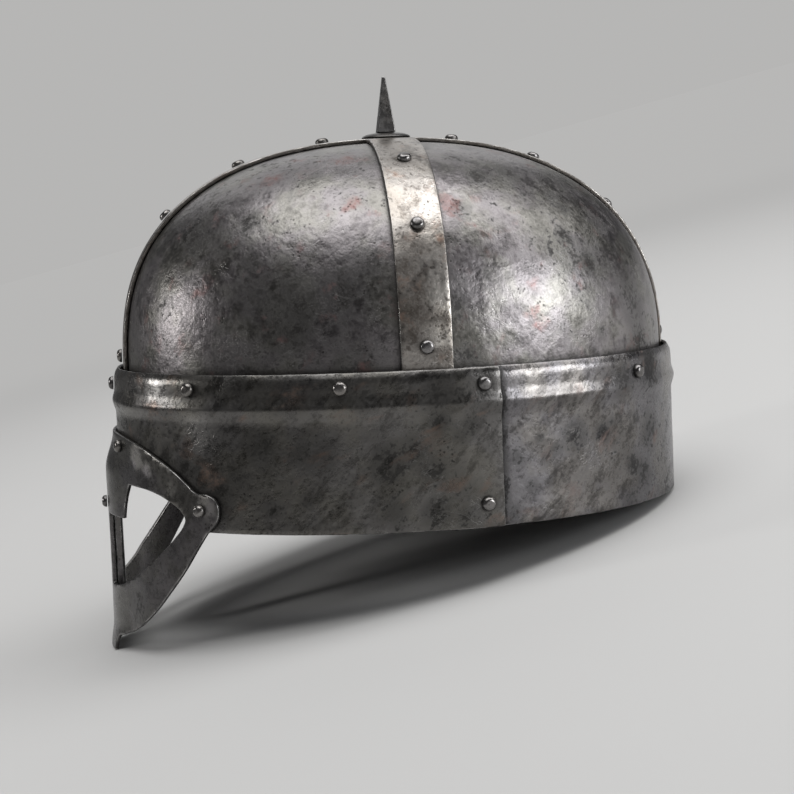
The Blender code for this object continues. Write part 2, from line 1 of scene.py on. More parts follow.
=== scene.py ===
"""Looks of the riveted iron helmet with a spectacle guard.

Each piece of the frame is made again as a fine mesh of the same form, with slight dents,
rounded edges and worn iron. Pieces are shaped upright, with z = 0 at the lower rim, -Y to the
front and +X to the wearer's left, and then leaned back as the frame's pieces are.
"""
import json
import math
import random
from contextlib import contextmanager

import bmesh
import bpy
import numpy as np
from mathutils import Matrix, Vector, noise


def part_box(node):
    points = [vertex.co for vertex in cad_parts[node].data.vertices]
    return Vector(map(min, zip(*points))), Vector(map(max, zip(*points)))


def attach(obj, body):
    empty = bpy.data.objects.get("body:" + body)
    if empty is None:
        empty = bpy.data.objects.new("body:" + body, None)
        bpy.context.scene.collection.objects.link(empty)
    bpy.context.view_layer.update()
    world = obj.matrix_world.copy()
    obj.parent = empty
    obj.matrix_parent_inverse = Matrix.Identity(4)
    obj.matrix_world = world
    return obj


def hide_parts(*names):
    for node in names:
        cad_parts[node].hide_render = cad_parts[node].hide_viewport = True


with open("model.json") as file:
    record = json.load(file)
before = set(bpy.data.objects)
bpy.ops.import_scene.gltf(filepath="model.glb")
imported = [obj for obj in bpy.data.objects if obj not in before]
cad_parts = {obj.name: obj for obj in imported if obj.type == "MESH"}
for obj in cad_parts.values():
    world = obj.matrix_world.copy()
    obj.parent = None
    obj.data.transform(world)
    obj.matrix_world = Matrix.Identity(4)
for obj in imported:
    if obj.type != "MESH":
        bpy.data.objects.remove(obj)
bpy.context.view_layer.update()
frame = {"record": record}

# Camera, read from the photograph: degrees it stands ahead of the wearer's left, its height
# in degrees, its tilt, and its distance from a point that lies in the upright helmet
PHOTO_SIDE = 794
CAMERA_AHEAD = 7.488
CAMERA_RISE = 5.632
CAMERA_TILT = -2.417
CAMERA_DISTANCE = 0.79436
CAMERA_FOCUS_PIXELS = 1782.7
CAMERA_LOOKS_AT = (0.0, 0.0007, 0.0435)
SENSOR_WIDTH = 36.0

# The helmet's sizes, as in the frame
BROW_LENGTH = 0.244
BROW_WIDTH = 0.200
BROW_HEIGHT = 0.0636
BROW_SHEET = 0.0014
BEAD_SWELL = 0.0027
FRONT_SHEET_REACH = 0.2032
LAP_LENGTH = 0.0140
LAP_RISE_LENGTH = 0.0160
LAP_RIVET_INSET = 0.0068
FACE_HALF_SPAN = 0.0770
FACE_RISE = 0.0240
DOME_RISE = 0.0921
PLATE_SHEET = 0.0014
BAND_SHEET = 0.0016
BAND_WIDTH = 0.0205
CROWN_SET_BACK = 0.0006
FRONT_FULLNESS = 2.44
BACK_FULLNESS = 2.33
CROWN_OPENING = 0.0030
PLATE_SEAM = 0.0006
PLATE_TUCK = 0.0095
BAND_TUCK = 0.0030
GUARD_HALF_SPAN = 0.0881
GUARD_TOP = 0.0364
GUARD_TIP = 0.0587
GUARD_SHEET = 0.0016
NOSE_BULGE = 0.0040
NOSE_BULGE_REACH = 0.0340
NOSE_BULGE_FALL = 0.0170
TIP_CURL = 0.0015
TIP_CURL_LENGTH = 0.0120
NASAL_WIDTH = 0.0100
NASAL_DEPTH = 0.0038
NASAL_TOP = 0.0160
NASAL_END = 0.0500
NASAL_BEVEL = 0.0010
DISC_RADIUS = 0.0107
DISC_HEIGHT = 0.0021
SPIKE_SIDE = 0.0079
SPIKE_TIP_SIDE = 0.0014
SPIKE_HEIGHT = 0.0242
RIVET_RADIUS = 0.0029
RIVET_HEIGHT = 0.0021
SMALL_RIVET_RADIUS = 0.0026
SEAT = 0.0003

HALF_LENGTH = BROW_LENGTH / 2
HALF_WIDTH = BROW_WIDTH / 2

# Section of the brow band, upper edge first
BROW_SECTION = (
    # share of the height, share of the bead's swell
    (1.000, -0.26),
    (0.975, 0.20),
    (0.940, 0.44),
    (0.850, 0.52),
    (0.815, 0.74),
    (0.785, 1.00),
    (0.750, 0.80),
    (0.705, 0.41),
    (0.000, 0.41),
)
BEAD_FOOT = 0.70
WALL_SWELL = BEAD_SWELL * BROW_SECTION[-1][1]
DOME_INSET = -BEAD_SWELL * BROW_SECTION[0][1] + BROW_SHEET + 2 * SEAT + BAND_SHEET
DOME_LENGTH = HALF_LENGTH - DOME_INSET
DOME_WIDTH = HALF_WIDTH - DOME_INSET
BAND_REACH = SEAT + BAND_SHEET
GUARD_OFFSET = WALL_SWELL + SEAT + GUARD_SHEET

# Upper edge of the face opening, from the centre outwards
FACE_EDGE = (
    # share of the half span, share of the rise
    (0.00, 1.00),
    (0.45, 1.00),
    (0.62, 0.93),
    (0.76, 0.79),
    (0.87, 0.64),
    (0.93, 0.50),
    (0.98, 0.32),
    (1.00, 0.16),
)

# Lower edge of the dome plates, inside the brow band
PLATE_EDGE = (
    # share of the tuck, share of the way out to the brow band
    (0.00, 0.00),
    (0.40, 0.00),
    (0.70, 0.50),
    (1.00, 1.00),
)

# Half the guard's outline, from its upper centre round to its tip. Above the rim a height
# is a share of GUARD_TOP, below it a share of GUARD_TIP.
GUARD_OUTLINE = (
    # share of the half span, share of the height, and corner where it isn't smooth
    (0.000, 1.000, "corner"),
    (0.284, 0.989),
    (0.465, 0.923),
    (0.602, 0.827),
    (0.757, 0.646),
    (0.826, 0.527),
    (0.878, 0.440),
    (0.941, 0.426),
    (0.986, 0.360),
    (1.000, 0.245),
    (0.990, 0.140),
    (0.957, 0.044),
    (0.930, -0.005, "corner"),
    (0.872, -0.117),
    (0.782, -0.288),
    (0.663, -0.470),
    (0.523, -0.647),
    (0.344, -0.794),
    (0.214, -0.860),
    (0.153, -0.894),
    (0.135, -0.939),
    (0.118, -1.000, "corner"),
    (0.000, -1.000, "corner"),
)
NOSE_STRIP = NASAL_WIDTH / 2 / GUARD_HALF_SPAN
EYE_OPENING = (
    # share of the half span, share of the height, and corner where it isn't smooth
    (NOSE_STRIP, 0.016, "corner"),
    (0.275, 0.016, "corner"),
    (0.306, 0.240),
    (0.357, 0.436, "corner"),
    (0.586, 0.407),
    (0.715, 0.316),
    (0.788, 0.212),
    (0.807, 0.137),
    (0.798, 0.078),
    (0.736, -0.051),
    (0.644, -0.163),
    (0.552, -0.259),
    (0.408, -0.375),
    (0.287, -0.455),
    (0.160, -0.506),
    (NOSE_STRIP, -0.518, "corner"),
)

# Rivets on the bands, in degrees of turn from the brow up to the crown
FRONT_RIDGE_RIVET_TURNS = (1.5, 38.8, 61.4, 80.0)
BACK_RIDGE_RIVET_TURNS = (1.5, 37.5, 60.2, 78.8)
SIDE_RIVET_TURNS = (3.3, 33.0, 59.7)

# Rivets on the brow band, each on both sides unless it lies at the centre
BROW_RIVETS = (
    # name, share of half the oval's length, share of the brow's height
    ("brow_rivet_front", 0.0, 0.89),
    ("brow_rivet_a", 0.214, 0.905),
    ("brow_rivet_b", 0.402, 0.905),
    ("brow_rivet_c", 0.787, 0.873),
)
LAP_RIVETS = (
    # name, share of the brow's height
    ("brow_rivet_lap", 0.897),
    ("seam_rivet", 0.150),
)
GUARD_RIVETS = (
    # name, share of the half span, share of the height above the rim
    ("guard_rivet_nose", 0.0, 0.135),
    ("guard_rivet_brow", 0.262, 0.866),
    ("guard_rivet_lug", 0.898, 0.247),
)
SIDES = (("left", 1), ("right", -1))
RIVET_TURN_SEED = 5

# Section of a rivet head, from its rim up to its flat top
RIVET_SECTION = (
    # share of the radius, share of the height
    (1.00, 0.00),
    (1.00, 0.26),
    (0.95, 0.50),
    (0.84, 0.72),
    (0.70, 0.88),
    (0.55, 0.97),
    (0.40, 1.00),
    (0.00, 1.00),
)
DISC_SECTION = (
    # share of the radius, share of the height
    (0.00, 1.00),
    (0.45, 1.00),
    (0.62, 0.96),
    (0.78, 0.80),
    (0.91, 0.56),
    (0.98, 0.30),
    (1.00, 0.12),
    (0.97, 0.00),
    (0.00, 0.00),
)

# How finely the pieces are divided
OVAL_STEPS = 6001
PLATE_COLUMNS = 68
PLATE_ROWS = 60
EDGE_ROWS = 9
BAND_ROWS = 90
BAND_COLUMNS = 10
BROW_STEP = 0.0020
BROW_ROWS = 44
GUARD_STEP = 0.0022
RIVET_SIDES = 28
DISC_SIDES = 72
NASAL_CUTS = 24
SPIKE_CUTS = 12
OUTLINE_STEPS = 6
HALVINGS = 40

# Rounding of the cut edges
SHEET_EDGE = 0.00035
THIN_EDGE = 0.00028
EDGE_SEGMENTS = 2
SHEET_CORNER_DEGREES = 50
SOLID_CORNER_DEGREES = 40
SOLID_CREASE_DEGREES = 30
TURNED_CREASE_DEGREES = 50
MERGE_GAP = 0.00005
FLAT_ANGLE = 0.005
TINY = 1e-9

# Dents: the depth and the width of each size of unevenness
DENTS = (
    # depth, width
    (0.00022, 0.034),
    (0.00008, 0.011),
)
BENT_SHEET_DENTS = 1.2


def link(thing):
    bpy.context.scene.collection.objects.link(thing)


def smooth_step(value):
    value = np.clip(value, 0.0, 1.0)
    return value * value * (3 - 2 * value)


# The oval

OVAL_TURNS = np.linspace(0, math.pi, OVAL_STEPS)
OVAL_POINTS = np.stack(
    [HALF_WIDTH * np.sin(OVAL_TURNS), -HALF_LENGTH * np.cos(OVAL_TURNS)], axis=1)
OVAL_LENGTHS = np.concatenate(
    [[0.0], np.cumsum(np.linalg.norm(np.diff(OVAL_POINTS, axis=0), axis=1))])
HALF_OVAL = OVAL_LENGTHS[-1]


def on_oval(along, height, offset):
    """Points at lengths along the oval from the front, pushed out from it by offset."""
    along = np.asarray(along, float)
    turn = np.interp(np.abs(along), OVAL_LENGTHS, OVAL_TURNS) * np.where(along < 0, -1, 1)
    x = HALF_WIDTH * np.sin(turn)
    y = -HALF_LENGTH * np.cos(turn)
    out_x = x / HALF_WIDTH**2
    out_y = y / HALF_LENGTH**2
    size = np.hypot(out_x, out_y)
    return np.stack(np.broadcast_arrays(
        x + out_x / size * offset, y + out_y / size * offset, height), axis=-1)


SECTION_HEIGHTS = np.array([share * BROW_HEIGHT for share, _ in BROW_SECTION])[::-1]
SECTION_SWELLS = np.array([swell * BEAD_SWELL for _, swell in BROW_SECTION])[::-1]


def section_offset(height):
    """How far the brow band's outside stands from the oval, with its corners rounded off."""
    blur = 0.0009
    total = 0.0
    for shift, weight in ((-1.0, 0.25), (0.0, 0.5), (1.0, 0.25)):
        total = total + weight * np.interp(height + shift * blur, SECTION_HEIGHTS, SECTION_SWELLS)
    return total


def lap_lift(along, height):
    """The front sheet rises over the end of the back sheet."""
    step = 0.0002
    slope = (section_offset(height + step) - section_offset(height - step)) / (2 * step)
    start = FRONT_SHEET_REACH - LAP_LENGTH - LAP_RISE_LENGTH
    full_lift = (BROW_SHEET + SEAT) * np.hypot(1, slope)
    return full_lift * smooth_step((np.abs(along) - start) / LAP_RISE_LENGTH)


def brow_front_point(along, height):
    return on_oval(along, height, section_offset(height) + lap_lift(along, height))


def brow_back_point(along, height):
    return on_oval(along, height, section_offset(height))


def guard_height(share):
    return share * (GUARD_TOP if share > 0 else GUARD_TIP)


def guard_point(along, height, inwards=0.0):
    """The guard's outside: close on the brow band, pushed out over the nose and at the tip."""
    across = smooth_step(1 - np.abs(along) / NOSE_BULGE_REACH)
    down = smooth_step((GUARD_TOP - height) / NOSE_BULGE_FALL)
    curl = smooth_step((TIP_CURL_LENGTH - GUARD_TIP - height) / TIP_CURL_LENGTH)
    offset = GUARD_OFFSET + NOSE_BULGE * across * down + TIP_CURL * curl - inwards
    return on_oval(along, height, offset)


# The dome

def dome_fullness(ahead):
    """The dome is a little fuller at the front, ahead = -1, than at the back, ahead = 1."""
    return FRONT_FULLNESS + (BACK_FULLNESS - FRONT_FULLNESS) * smooth_step(0.5 + ahead / 2)


def dome_value(points):
    """Above 1 outside the dome, below 1 inside it."""
    x = points[..., 0] / DOME_WIDTH
    y = (points[..., 1] - CROWN_SET_BACK) / DOME_LENGTH
    z = np.maximum(points[..., 2] - BROW_HEIGHT, 0.0) / DOME_RISE
    radius = np.hypot(x, y)
    power = dome_fullness(y / np.maximum(radius, TINY))
    return radius**power + z**power


def dome_point(bearing, turn):
    """On the dome's outside: bearing from the front round to the left, turn up from the brow."""
    ahead = -np.cos(bearing)
    power = dome_fullness(ahead)
    radius = np.maximum(np.cos(turn), 0.0) ** (2 / power)
    rise = np.sin(turn) ** (2 / power)
    return np.stack(np.broadcast_arrays(
        DOME_WIDTH * radius * np.sin(bearing),
        DOME_LENGTH * radius * ahead + CROWN_SET_BACK,
        BROW_HEIGHT + DOME_RISE * rise), axis=-1)


def dome_normal(points):
    step = 1e-5
    base = dome_value(points)
    slope = np.stack([dome_value(points + step * axis) - base for axis in np.eye(3)], axis=-1)
    return slope / np.linalg.norm(slope, axis=-1, keepdims=True)


def level(directions):
    flat = directions * np.array([1.0, 1.0, 0.0])
    return flat / np.linalg.norm(flat, axis=-1, keepdims=True)


def over_dome(bearing, turn, sideways, gap):
    """Points beside the line up one bearing, laid on the dome and lifted by gap. A turn
    below 0 is a share of the tuck under the brow band."""
    start = dome_point(bearing, np.maximum(turn, 0.0))
    out = dome_normal(start)
    tucked = (turn < 0)[..., None]
    out = np.where(tucked, level(out), out)
    start = start + np.array([0, 0, 1]) * np.minimum(turn, 0.0)[..., None] * BAND_TUCK
    beside = np.array([math.cos(bearing), math.sin(bearing), 0.0])
    start = start + beside * sideways[..., None]
    near = np.full(turn.shape, -BAND_WIDTH / 2)
    far = np.full(turn.shape, BAND_WIDTH / 2)
    for _ in range(HALVINGS):
        middle = (near + far) / 2
        outside = dome_value(start + out * middle[..., None]) > 1
        far = np.where(outside, middle, far)
        near = np.where(outside, near, middle)
    return start + out * (near + gap)[..., None]


# The place of the leaned helmet, from the frame

def leaned_place():
    """How the frame's helmet is leaned and set down, from its rim and its nasal bar."""
    mounts = {mount["name"]: mount for mount in frame["record"]["mounts"]}
    down = Vector(mounts["rim_left"]["axis"])
    lean = Matrix.Rotation(math.atan2(down.y, -down.z), 4, "X")
    low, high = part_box("nasal_bar")
    middle = Vector((0, nasal_face() + NASAL_DEPTH / 2, (NASAL_TOP - NASAL_END) / 2))
    return Matrix.Translation((Vector(low) + Vector(high)) / 2 - lean @ middle) @ lean


def nasal_face():
    """Where the nasal bar's front lies, just behind the guard."""
    half = NASAL_WIDTH / 2 - NASAL_BEVEL
    return float(guard_point(half, NASAL_TOP)[1]) + GUARD_SHEET + SEAT


PLACE = leaned_place()


def camera_axes():
    """Right, up and back directions of the camera, in the upright helmet's space."""
    ahead, rise, tilt = (math.radians(v) for v in (CAMERA_AHEAD, CAMERA_RISE, CAMERA_TILT))
    back = Vector((math.cos(ahead) * math.cos(rise), -math.sin(ahead) * math.cos(rise),
                   math.sin(rise)))
    right = Vector((math.sin(ahead), math.cos(ahead), 0))
    up = back.cross(right)
    tilted_right = math.cos(tilt) * right + math.sin(tilt) * up
    tilted_up = -math.sin(tilt) * right + math.cos(tilt) * up
    return tilted_right, tilted_up, back


def add_camera():
    right, up, back = camera_axes()
    where = Vector(CAMERA_LOOKS_AT) + back * CAMERA_DISTANCE
    turned = Matrix((right, up, back)).transposed().to_4x4()
    data = bpy.data.cameras.new("photo_camera")
    data.sensor_width = SENSOR_WIDTH
    data.lens = CAMERA_FOCUS_PIXELS / PHOTO_SIDE * SENSOR_WIDTH
    data.clip_start = 0.01
    data.clip_end = 50
    camera = bpy.data.objects.new("photo_camera", data)
    camera.matrix_world = PLACE @ Matrix.Translation(where) @ turned
    link(camera)
    bpy.context.scene.camera = camera


# Stains, read from the photograph and laid on the helmet along the camera's rays: dark
# grime with some painted shade, reddish rust, and bright spots of wear and painted highlight
STAINS = {
    # surface, kind: pixel across, pixel down, radius in pixels, strength
    ("dome", "grime_and_shade"): (
        (213, 212, 13, 0.8), (249, 221, 13, 1.0), (200, 240, 26, 0.7), (228, 245, 16, 0.7),
        (250, 263, 14, 0.7), (252, 305, 34, 0.6), (288, 318, 44, 0.7), (341, 298, 34, 0.8),
        (369, 264, 17, 1.0), (322, 280, 8, 0.8), (328, 307, 12, 0.7), (217, 330, 9, 0.7),
        (153, 332, 7, 0.7), (148, 369, 16, 0.8), (240, 372, 40, 0.5), (340, 366, 50, 0.5),
        (316, 176, 10, 0.5), (345, 171, 10, 0.5), (476, 176, 15, 1.2), (508, 172, 14, 0.6),
        (552, 196, 9, 0.8), (563, 208, 9, 0.9), (564, 236, 11, 0.8), (587, 261, 12, 0.9),
        (485, 274, 8, 0.7), (458, 300, 10, 0.7), (463, 316, 10, 0.8), (470, 357, 15, 1.0),
        (625, 284, 14, 0.6), (600, 332, 10, 0.6), (456, 158, 12, 0.7), (456, 207, 15, 1.0),
        # (632, 300) is painted shade, darkening the far right of the dome
        (632, 300, 30, 1.0), (640, 340, 20, 0.9), (600, 225, 18, 0.6),
    ),
    ("dome", "rust"): (
        (269, 179, 20, 1.2), (347, 158, 24, 1.1), (353, 206, 10, 0.8), (199, 291, 13, 0.8),
        (345, 210, 9, 0.7), (453, 206, 15, 1.3), (470, 220, 13, 1.0), (457, 248, 10, 0.7),
        (531, 313, 14, 0.8), (541, 326, 12, 0.8), (586, 262, 9, 0.7),
    ),
    ("brow", "grime_and_shade"): (
        (237, 384, 14, 0.8), (290, 388, 32, 0.6), (364, 401, 13, 0.9), (262, 450, 22, 0.7),
        (312, 448, 26, 0.7), (388, 460, 18, 0.9), (309, 502, 8, 0.9), (271, 510, 9, 0.7),
        # From (140, 437) to (202, 481), with (221, 492), the stains along the guard's upper edge
        # are grime with the guard's shadow painted in
        (237, 478, 16, 0.8), (221, 492, 16, 1.3), (140, 437, 11, 1.2), (152, 444, 11, 1.3),
        (167, 454, 12, 1.4), (184, 467, 12, 1.4), (202, 481, 13, 1.4), (226, 512, 9, 0.9),
        (436, 394, 20, 0.7), (458, 400, 9, 0.9), (437, 421, 12, 0.8), (470, 426, 11, 1.0),
        (462, 437, 9, 0.9), (414, 450, 15, 0.8), (386, 466, 18, 0.9), (430, 471, 13, 0.8),
        (436, 512, 14, 1.0), (465, 517, 9, 0.9), (395, 510, 16, 0.7), (518, 458, 9, 0.8),
        (539, 438, 7, 1.0), (547, 457, 8, 1.0), (555, 449, 8, 1.0), (575, 434, 16, 1.0),
        (603, 433, 12, 1.0), (612, 422, 7, 0.8), (634, 464, 12, 0.8), (533, 487, 8, 0.9),
        (550, 482, 7, 0.8), (514, 514, 10, 0.9), (629, 501, 12, 0.7), (621, 379, 20, 1.0),
        # (650, 366) and (650, 430) are painted shade, darkening the far end of the brow band
        (650, 366, 20, 1.5), (650, 430, 22, 0.9), (643, 470, 16, 0.8),
    ),
    ("brow", "rust"): (
        (188, 443, 14, 0.3), (387, 398, 12, 0.7), (411, 396, 14, 0.9), (443, 450, 18, 0.7),
        (495, 444, 11, 0.8), (455, 487, 16, 0.5),
    ),
    ("brow", "worn_and_highlighted"): (
        # (153, 389), (530, 377) and (575, 374) are painted highlights on the brow band; (195, 432)
        # is wear
        (153, 389, 18, 1.0), (195, 432, 30, 0.7), (530, 377, 26, 0.6), (575, 374, 26, 0.6),
    ),
    ("band", "grime_and_shade"): (
        (397, 163, 7, 0.9), (416, 252, 12, 1.1), (405, 268, 12, 1.2), (418, 289, 10, 0.8),
        (408, 312, 16, 1.15), (412, 336, 11, 1.0), (404, 240, 8, 0.7),
    ),
    ("band", "rust"): (
        (439, 240, 6, 1.1), (430, 228, 9, 0.7), (421, 217, 8, 0.6),
    ),
    ("band", "worn_and_highlighted"): (
        # (443, 300) and (440, 336) are painted highlights along the band's right edge
        (443, 300, 22, 1.2), (440, 336, 18, 1.1), (424, 215, 9, 0.8),
    ),
    ("guard", "grime_and_shade"): (
        # (136, 612) is painted shade, darkening the guard's lower end
        (186, 486, 8, 0.7), (136, 612, 30, 0.9), (150, 476, 9, 0.5), (135, 520, 10, 0.5),
    ),
    ("guard", "worn_and_highlighted"): (
        # (131, 458) and (142, 470) are a painted highlight on the guard's upper arm
        (131, 458, 16, 1.5), (142, 470, 12, 1.3), (203, 506, 15, 0.9), (168, 492, 12, 0.7),
    ),
}
PIXELS_PER_METRE = 2450
STAIN_SPREAD = 1.5
RAY_SEARCH = (CAMERA_DISTANCE - 0.2, CAMERA_DISTANCE + 0.1, 1200)

# Stains of the same kinds on the sides that the photograph doesn't show
HIDDEN_STAINS = {
    # how many, seed
    "dome": (34, 11),
    "brow": (34, 12),
    "band": (12, 13),
}
HIDDEN_RUST_SHARE = 0.25
HIDDEN_RADII = (0.003, 0.012)
HIDDEN_STRENGTHS = (0.5, 1.1)
HIDDEN_BEARINGS = (186, 354)
HIDDEN_TURNS = (3, 70)
HIDDEN_BROW_SPAN = (0.03, 0.97)

# Painted shade on the back sheet beside the end of the front sheet
SEAM_SHADE = 1.5
SEAM_SHADE_WIDTH = 0.0035


def photo_ray(across, down):
    """The camera's place and the direction through a pixel, in the upright helmet's space."""
    right, up, back = camera_axes()
    start = Vector(CAMERA_LOOKS_AT) + back * CAMERA_DISTANCE
    half = PHOTO_SIDE / 2
    way = (right * (across - half) + up * (half - down)) / CAMERA_FOCUS_PIXELS - back
    return np.array(start), np.array(way.normalized())


def oval_value(points):
    """Above 1 outside the brow band's wall, below 1 inside it."""
    wide = HALF_WIDTH + WALL_SWELL
    long = HALF_LENGTH + WALL_SWELL
    return (points[..., 0] / wide) ** 2 + (points[..., 1] / long) ** 2


def guard_value(points):
    """The same, for a wall that stands out as far as the guard does beside its nose."""
    out = GUARD_OFFSET + NOSE_BULGE / 2 - WALL_SWELL
    return oval_value(points * (1 - out / HALF_LENGTH))


def first_hit(across, down, value):
    """Where a pixel's ray first meets the surface on which value is 1."""
    start, way = photo_ray(across, down)
    reach = np.linspace(*RAY_SEARCH)
    inside = value(start + reach[:, None] * way) < 1
    if not inside.any():
        return None
    return start + reach[np.argmax(inside)] * way


def laid_stains(surface, value):
    """Each stain of a surface as its kind, its place, its radius and its strength."""
    rows = []
    for kind in ("grime_and_shade", "rust", "worn_and_highlighted"):
        for across, down, radius, strength in STAINS.get((surface, kind), ()):
            place = first_hit(across, down, value)
            if place is not None:
                rows.append((kind, place, radius / PIXELS_PER_METRE, strength))
    return rows


def hidden_stains(surface, count, seed):
    """Stains like those of the photograph, strewn over the side that it doesn't show."""
    draw = random.Random(seed)
    rows = []
    for _ in range(count):
        kind = "rust" if draw.random() < HIDDEN_RUST_SHARE else "grime_and_shade"
        radius = draw.uniform(*HIDDEN_RADII)
        strength = draw.uniform(*HIDDEN_STRENGTHS)
        bearing = math.radians(draw.uniform(*HIDDEN_BEARINGS))
        if surface == "brow":
            place = on_oval(-draw.uniform(*HIDDEN_BROW_SPAN) * HALF_OVAL,
                            draw.uniform(0.0, 1.0) * BROW_HEIGHT, WALL_SWELL)
        else:
            place = dome_point(bearing, math.radians(draw.uniform(*HIDDEN_TURNS)))
        rows.append((kind, place, radius, strength))
    return rows


ALL_STAINS = {
    "dome": laid_stains("dome", dome_value),
    "brow": laid_stains("brow", oval_value),
    "band": laid_stains("band", dome_value),
    "guard": laid_stains("guard", guard_value),
}
for hidden_surface, (hidden_count, hidden_seed) in HIDDEN_STAINS.items():
    ALL_STAINS[hidden_surface] += hidden_stains(hidden_surface, hidden_count, hidden_seed)


def mark_stains(mesh, surface, dirt_and_shade=None):
    """Store how much each corner is stained, for the materials; some grime is painted shade and
    some wear is a painted highlight. Painted shade beside a seam, when given, adds to the grime.
    """
    places = corner_array(mesh)
    for kind in ("grime_and_shade", "rust", "worn_and_highlighted"):
        amount = np.zeros(len(places))
        for row_kind, place, radius, strength in ALL_STAINS.get(surface, ()):
            if row_kind == kind:
                away = np.linalg.norm(places - place, axis=1) / (radius * STAIN_SPREAD)
                amount = np.maximum(amount, strength * smooth_step(1 - away))
        if dirt_and_shade is not None and kind == "grime_and_shade":
            amount = np.maximum(amount, dirt_and_shade)
        layer = mesh.attributes.new(kind, "FLOAT", "POINT")
        layer.data.foreach_set("value", amount.astype(np.float32))


def corner_array(mesh):
    flat = np.empty(len(mesh.vertices) * 3)
    mesh.vertices.foreach_get("co", flat)
    return flat.reshape(-1, 3)


# Making meshes

def unevenness(point):
    """How far the hammered sheet lies in or out at a place."""
    return sum(depth * noise.noise(Vector(point) / width) for depth, width in DENTS)


def dented(points, directions, share=1.0):
    """Points moved along their directions by a share of the sheet's unevenness."""
    flat = points.reshape(-1, 3)
    amounts = np.array([unevenness(point) for point in flat]).reshape(points.shape[:-1])
    return points + directions * (share * amounts)[..., None]


def grid_mesh(name, points):
    """A mesh from rows of points."""
    rows, columns = points.shape[:2]
    faces = [
        (r * columns + c, r * columns + c + 1, (r + 1) * columns + c + 1, (r + 1) * columns + c)
        for r in range(rows - 1) for c in range(columns - 1)]
    mesh = bpy.data.meshes.new(name)
    mesh.from_pydata(points.reshape(-1, 3).tolist(), [], faces)
    return mesh


@contextmanager
def editing(mesh):
    """The mesh as a shape that can be changed, put back into it at the end."""
    shape = bmesh.new()
    shape.from_mesh(mesh)
    yield shape
    shape.to_mesh(mesh)
    shape.free()


def face_outwards(mesh):
    """Turn every face away from the helmet's inside."""
    with editing(mesh) as shape:
        bmesh.ops.recalc_face_normals(shape, faces=shape.faces)
        centre = Vector((0, 0, BROW_HEIGHT))
        outwards = sum(
            face.normal.dot(face.calc_center_median() - centre) for face in shape.faces)
        if outwards < 0:
            bmesh.ops.reverse_faces(shape, faces=shape.faces)


def add_piece(node, mesh, look, place=None, edged=True):
    """A piece that stands for one node of the frame. An edged one has a second material, for
    its rounded edges."""
    piece = bpy.data.objects.new("worn_" + node, mesh)
    mesh.materials.append(IRON[look])
    if edged:
        mesh.materials.append(EDGE_IRON[look])
    link(piece)
    mesh.transform(PLACE @ (place or Matrix.Identity(4)))
    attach(piece, "root")
    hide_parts(node)
    return piece


def soften(mesh, degrees):
    """Smooth shading that keeps edges sharper than this angle."""
    mesh.shade_smooth()
    mesh.set_sharp_from_angle(angle=math.radians(degrees))


def thicken(piece, thickness, outwards):
    modifier = piece.modifiers.new("sheet thickness", "SOLIDIFY")
    modifier.thickness = thickness
    modifier.offset = 1 if outwards else -1
    modifier.use_even_offset = True


def round_edges(piece, width, degrees=SHEET_CORNER_DEGREES):
    """Rounded edges take the piece's second material, the iron that wear keeps bright."""
    modifier = piece.modifiers.new("rounded edges", "BEVEL")
    modifier.width = width
    modifier.segments = EDGE_SEGMENTS
    modifier.limit_method = "ANGLE"
    modifier.angle_limit = math.radians(degrees)
    modifier.use_clamp_overlap = False
    modifier.material = 1


def sheet_piece(node, points, surface, look, thickness, outwards, dirt_and_shade=None):
    """A sheet of iron from rows of points on its face."""
    mesh = grid_mesh(node, points)
    face_outwards(mesh)
    mark_stains(mesh, surface, dirt_and_shade)
    mesh.shade_smooth()
    piece = add_piece(node, mesh, look)
    thicken(piece, thickness, outwards)
    round_edges(piece, SHEET_EDGE)
    return piece


# The pieces

def turn_beside_crown(width):
    """How far up the dome's side comes within a width of the crown."""
    return math.acos((width / DOME_WIDTH) ** (FRONT_FULLNESS / 2))


def dome_plate(node, to_back, side):
    """One quarter of the dome, from inside the brow band up to the crown's small opening."""
    crown = turn_beside_crown(CROWN_OPENING)
    turns = np.concatenate([np.zeros(EDGE_ROWS), np.linspace(0, crown, PLATE_ROWS + 1)])
    tucks = np.concatenate([np.linspace(1, 0, EDGE_ROWS, endpoint=False),
                            np.zeros(PLATE_ROWS + 1)])
    across = np.linspace(0, 1, PLATE_COLUMNS + 1)
    turn, part = np.meshgrid(turns, across, indexing="ij")
    tuck = np.repeat(tucks[:, None], len(across), axis=1)
    radius = np.cos(turn) ** (2 / FRONT_FULLNESS)
    first = np.arcsin(PLATE_SEAM / 2 / (DOME_WIDTH * radius))
    last = np.arccos(PLATE_SEAM / 2 / (DOME_LENGTH * radius))
    bearing = first + (last - first) * part
    if to_back:
        bearing = math.pi - bearing
    points = dome_point(bearing, turn)
    shares, outs = np.array(PLATE_EDGE).T
    inside = section_offset(BROW_HEIGHT - tuck * PLATE_TUCK) - BROW_SHEET - SEAT
    gap = inside + DOME_INSET - CROWN_SET_BACK
    gap = gap * np.interp(tuck, shares, outs)
    points = points + level(dome_normal(points)) * gap[..., None]
    points = points - np.array([0, 0, 1]) * (tuck * PLATE_TUCK)[..., None]
    points[..., 0] *= side
    points = dented(points, away_from_middle(points))
    sheet_piece(node, points, "dome", "dome_iron", PLATE_SHEET, False)


def away_from_middle(points):
    """Directions out of the dome, for dents, also where a sheet lies below the dome."""
    just_above = [-np.inf, -np.inf, BROW_HEIGHT + 1e-4]
    return dome_normal(np.maximum(points, just_above))


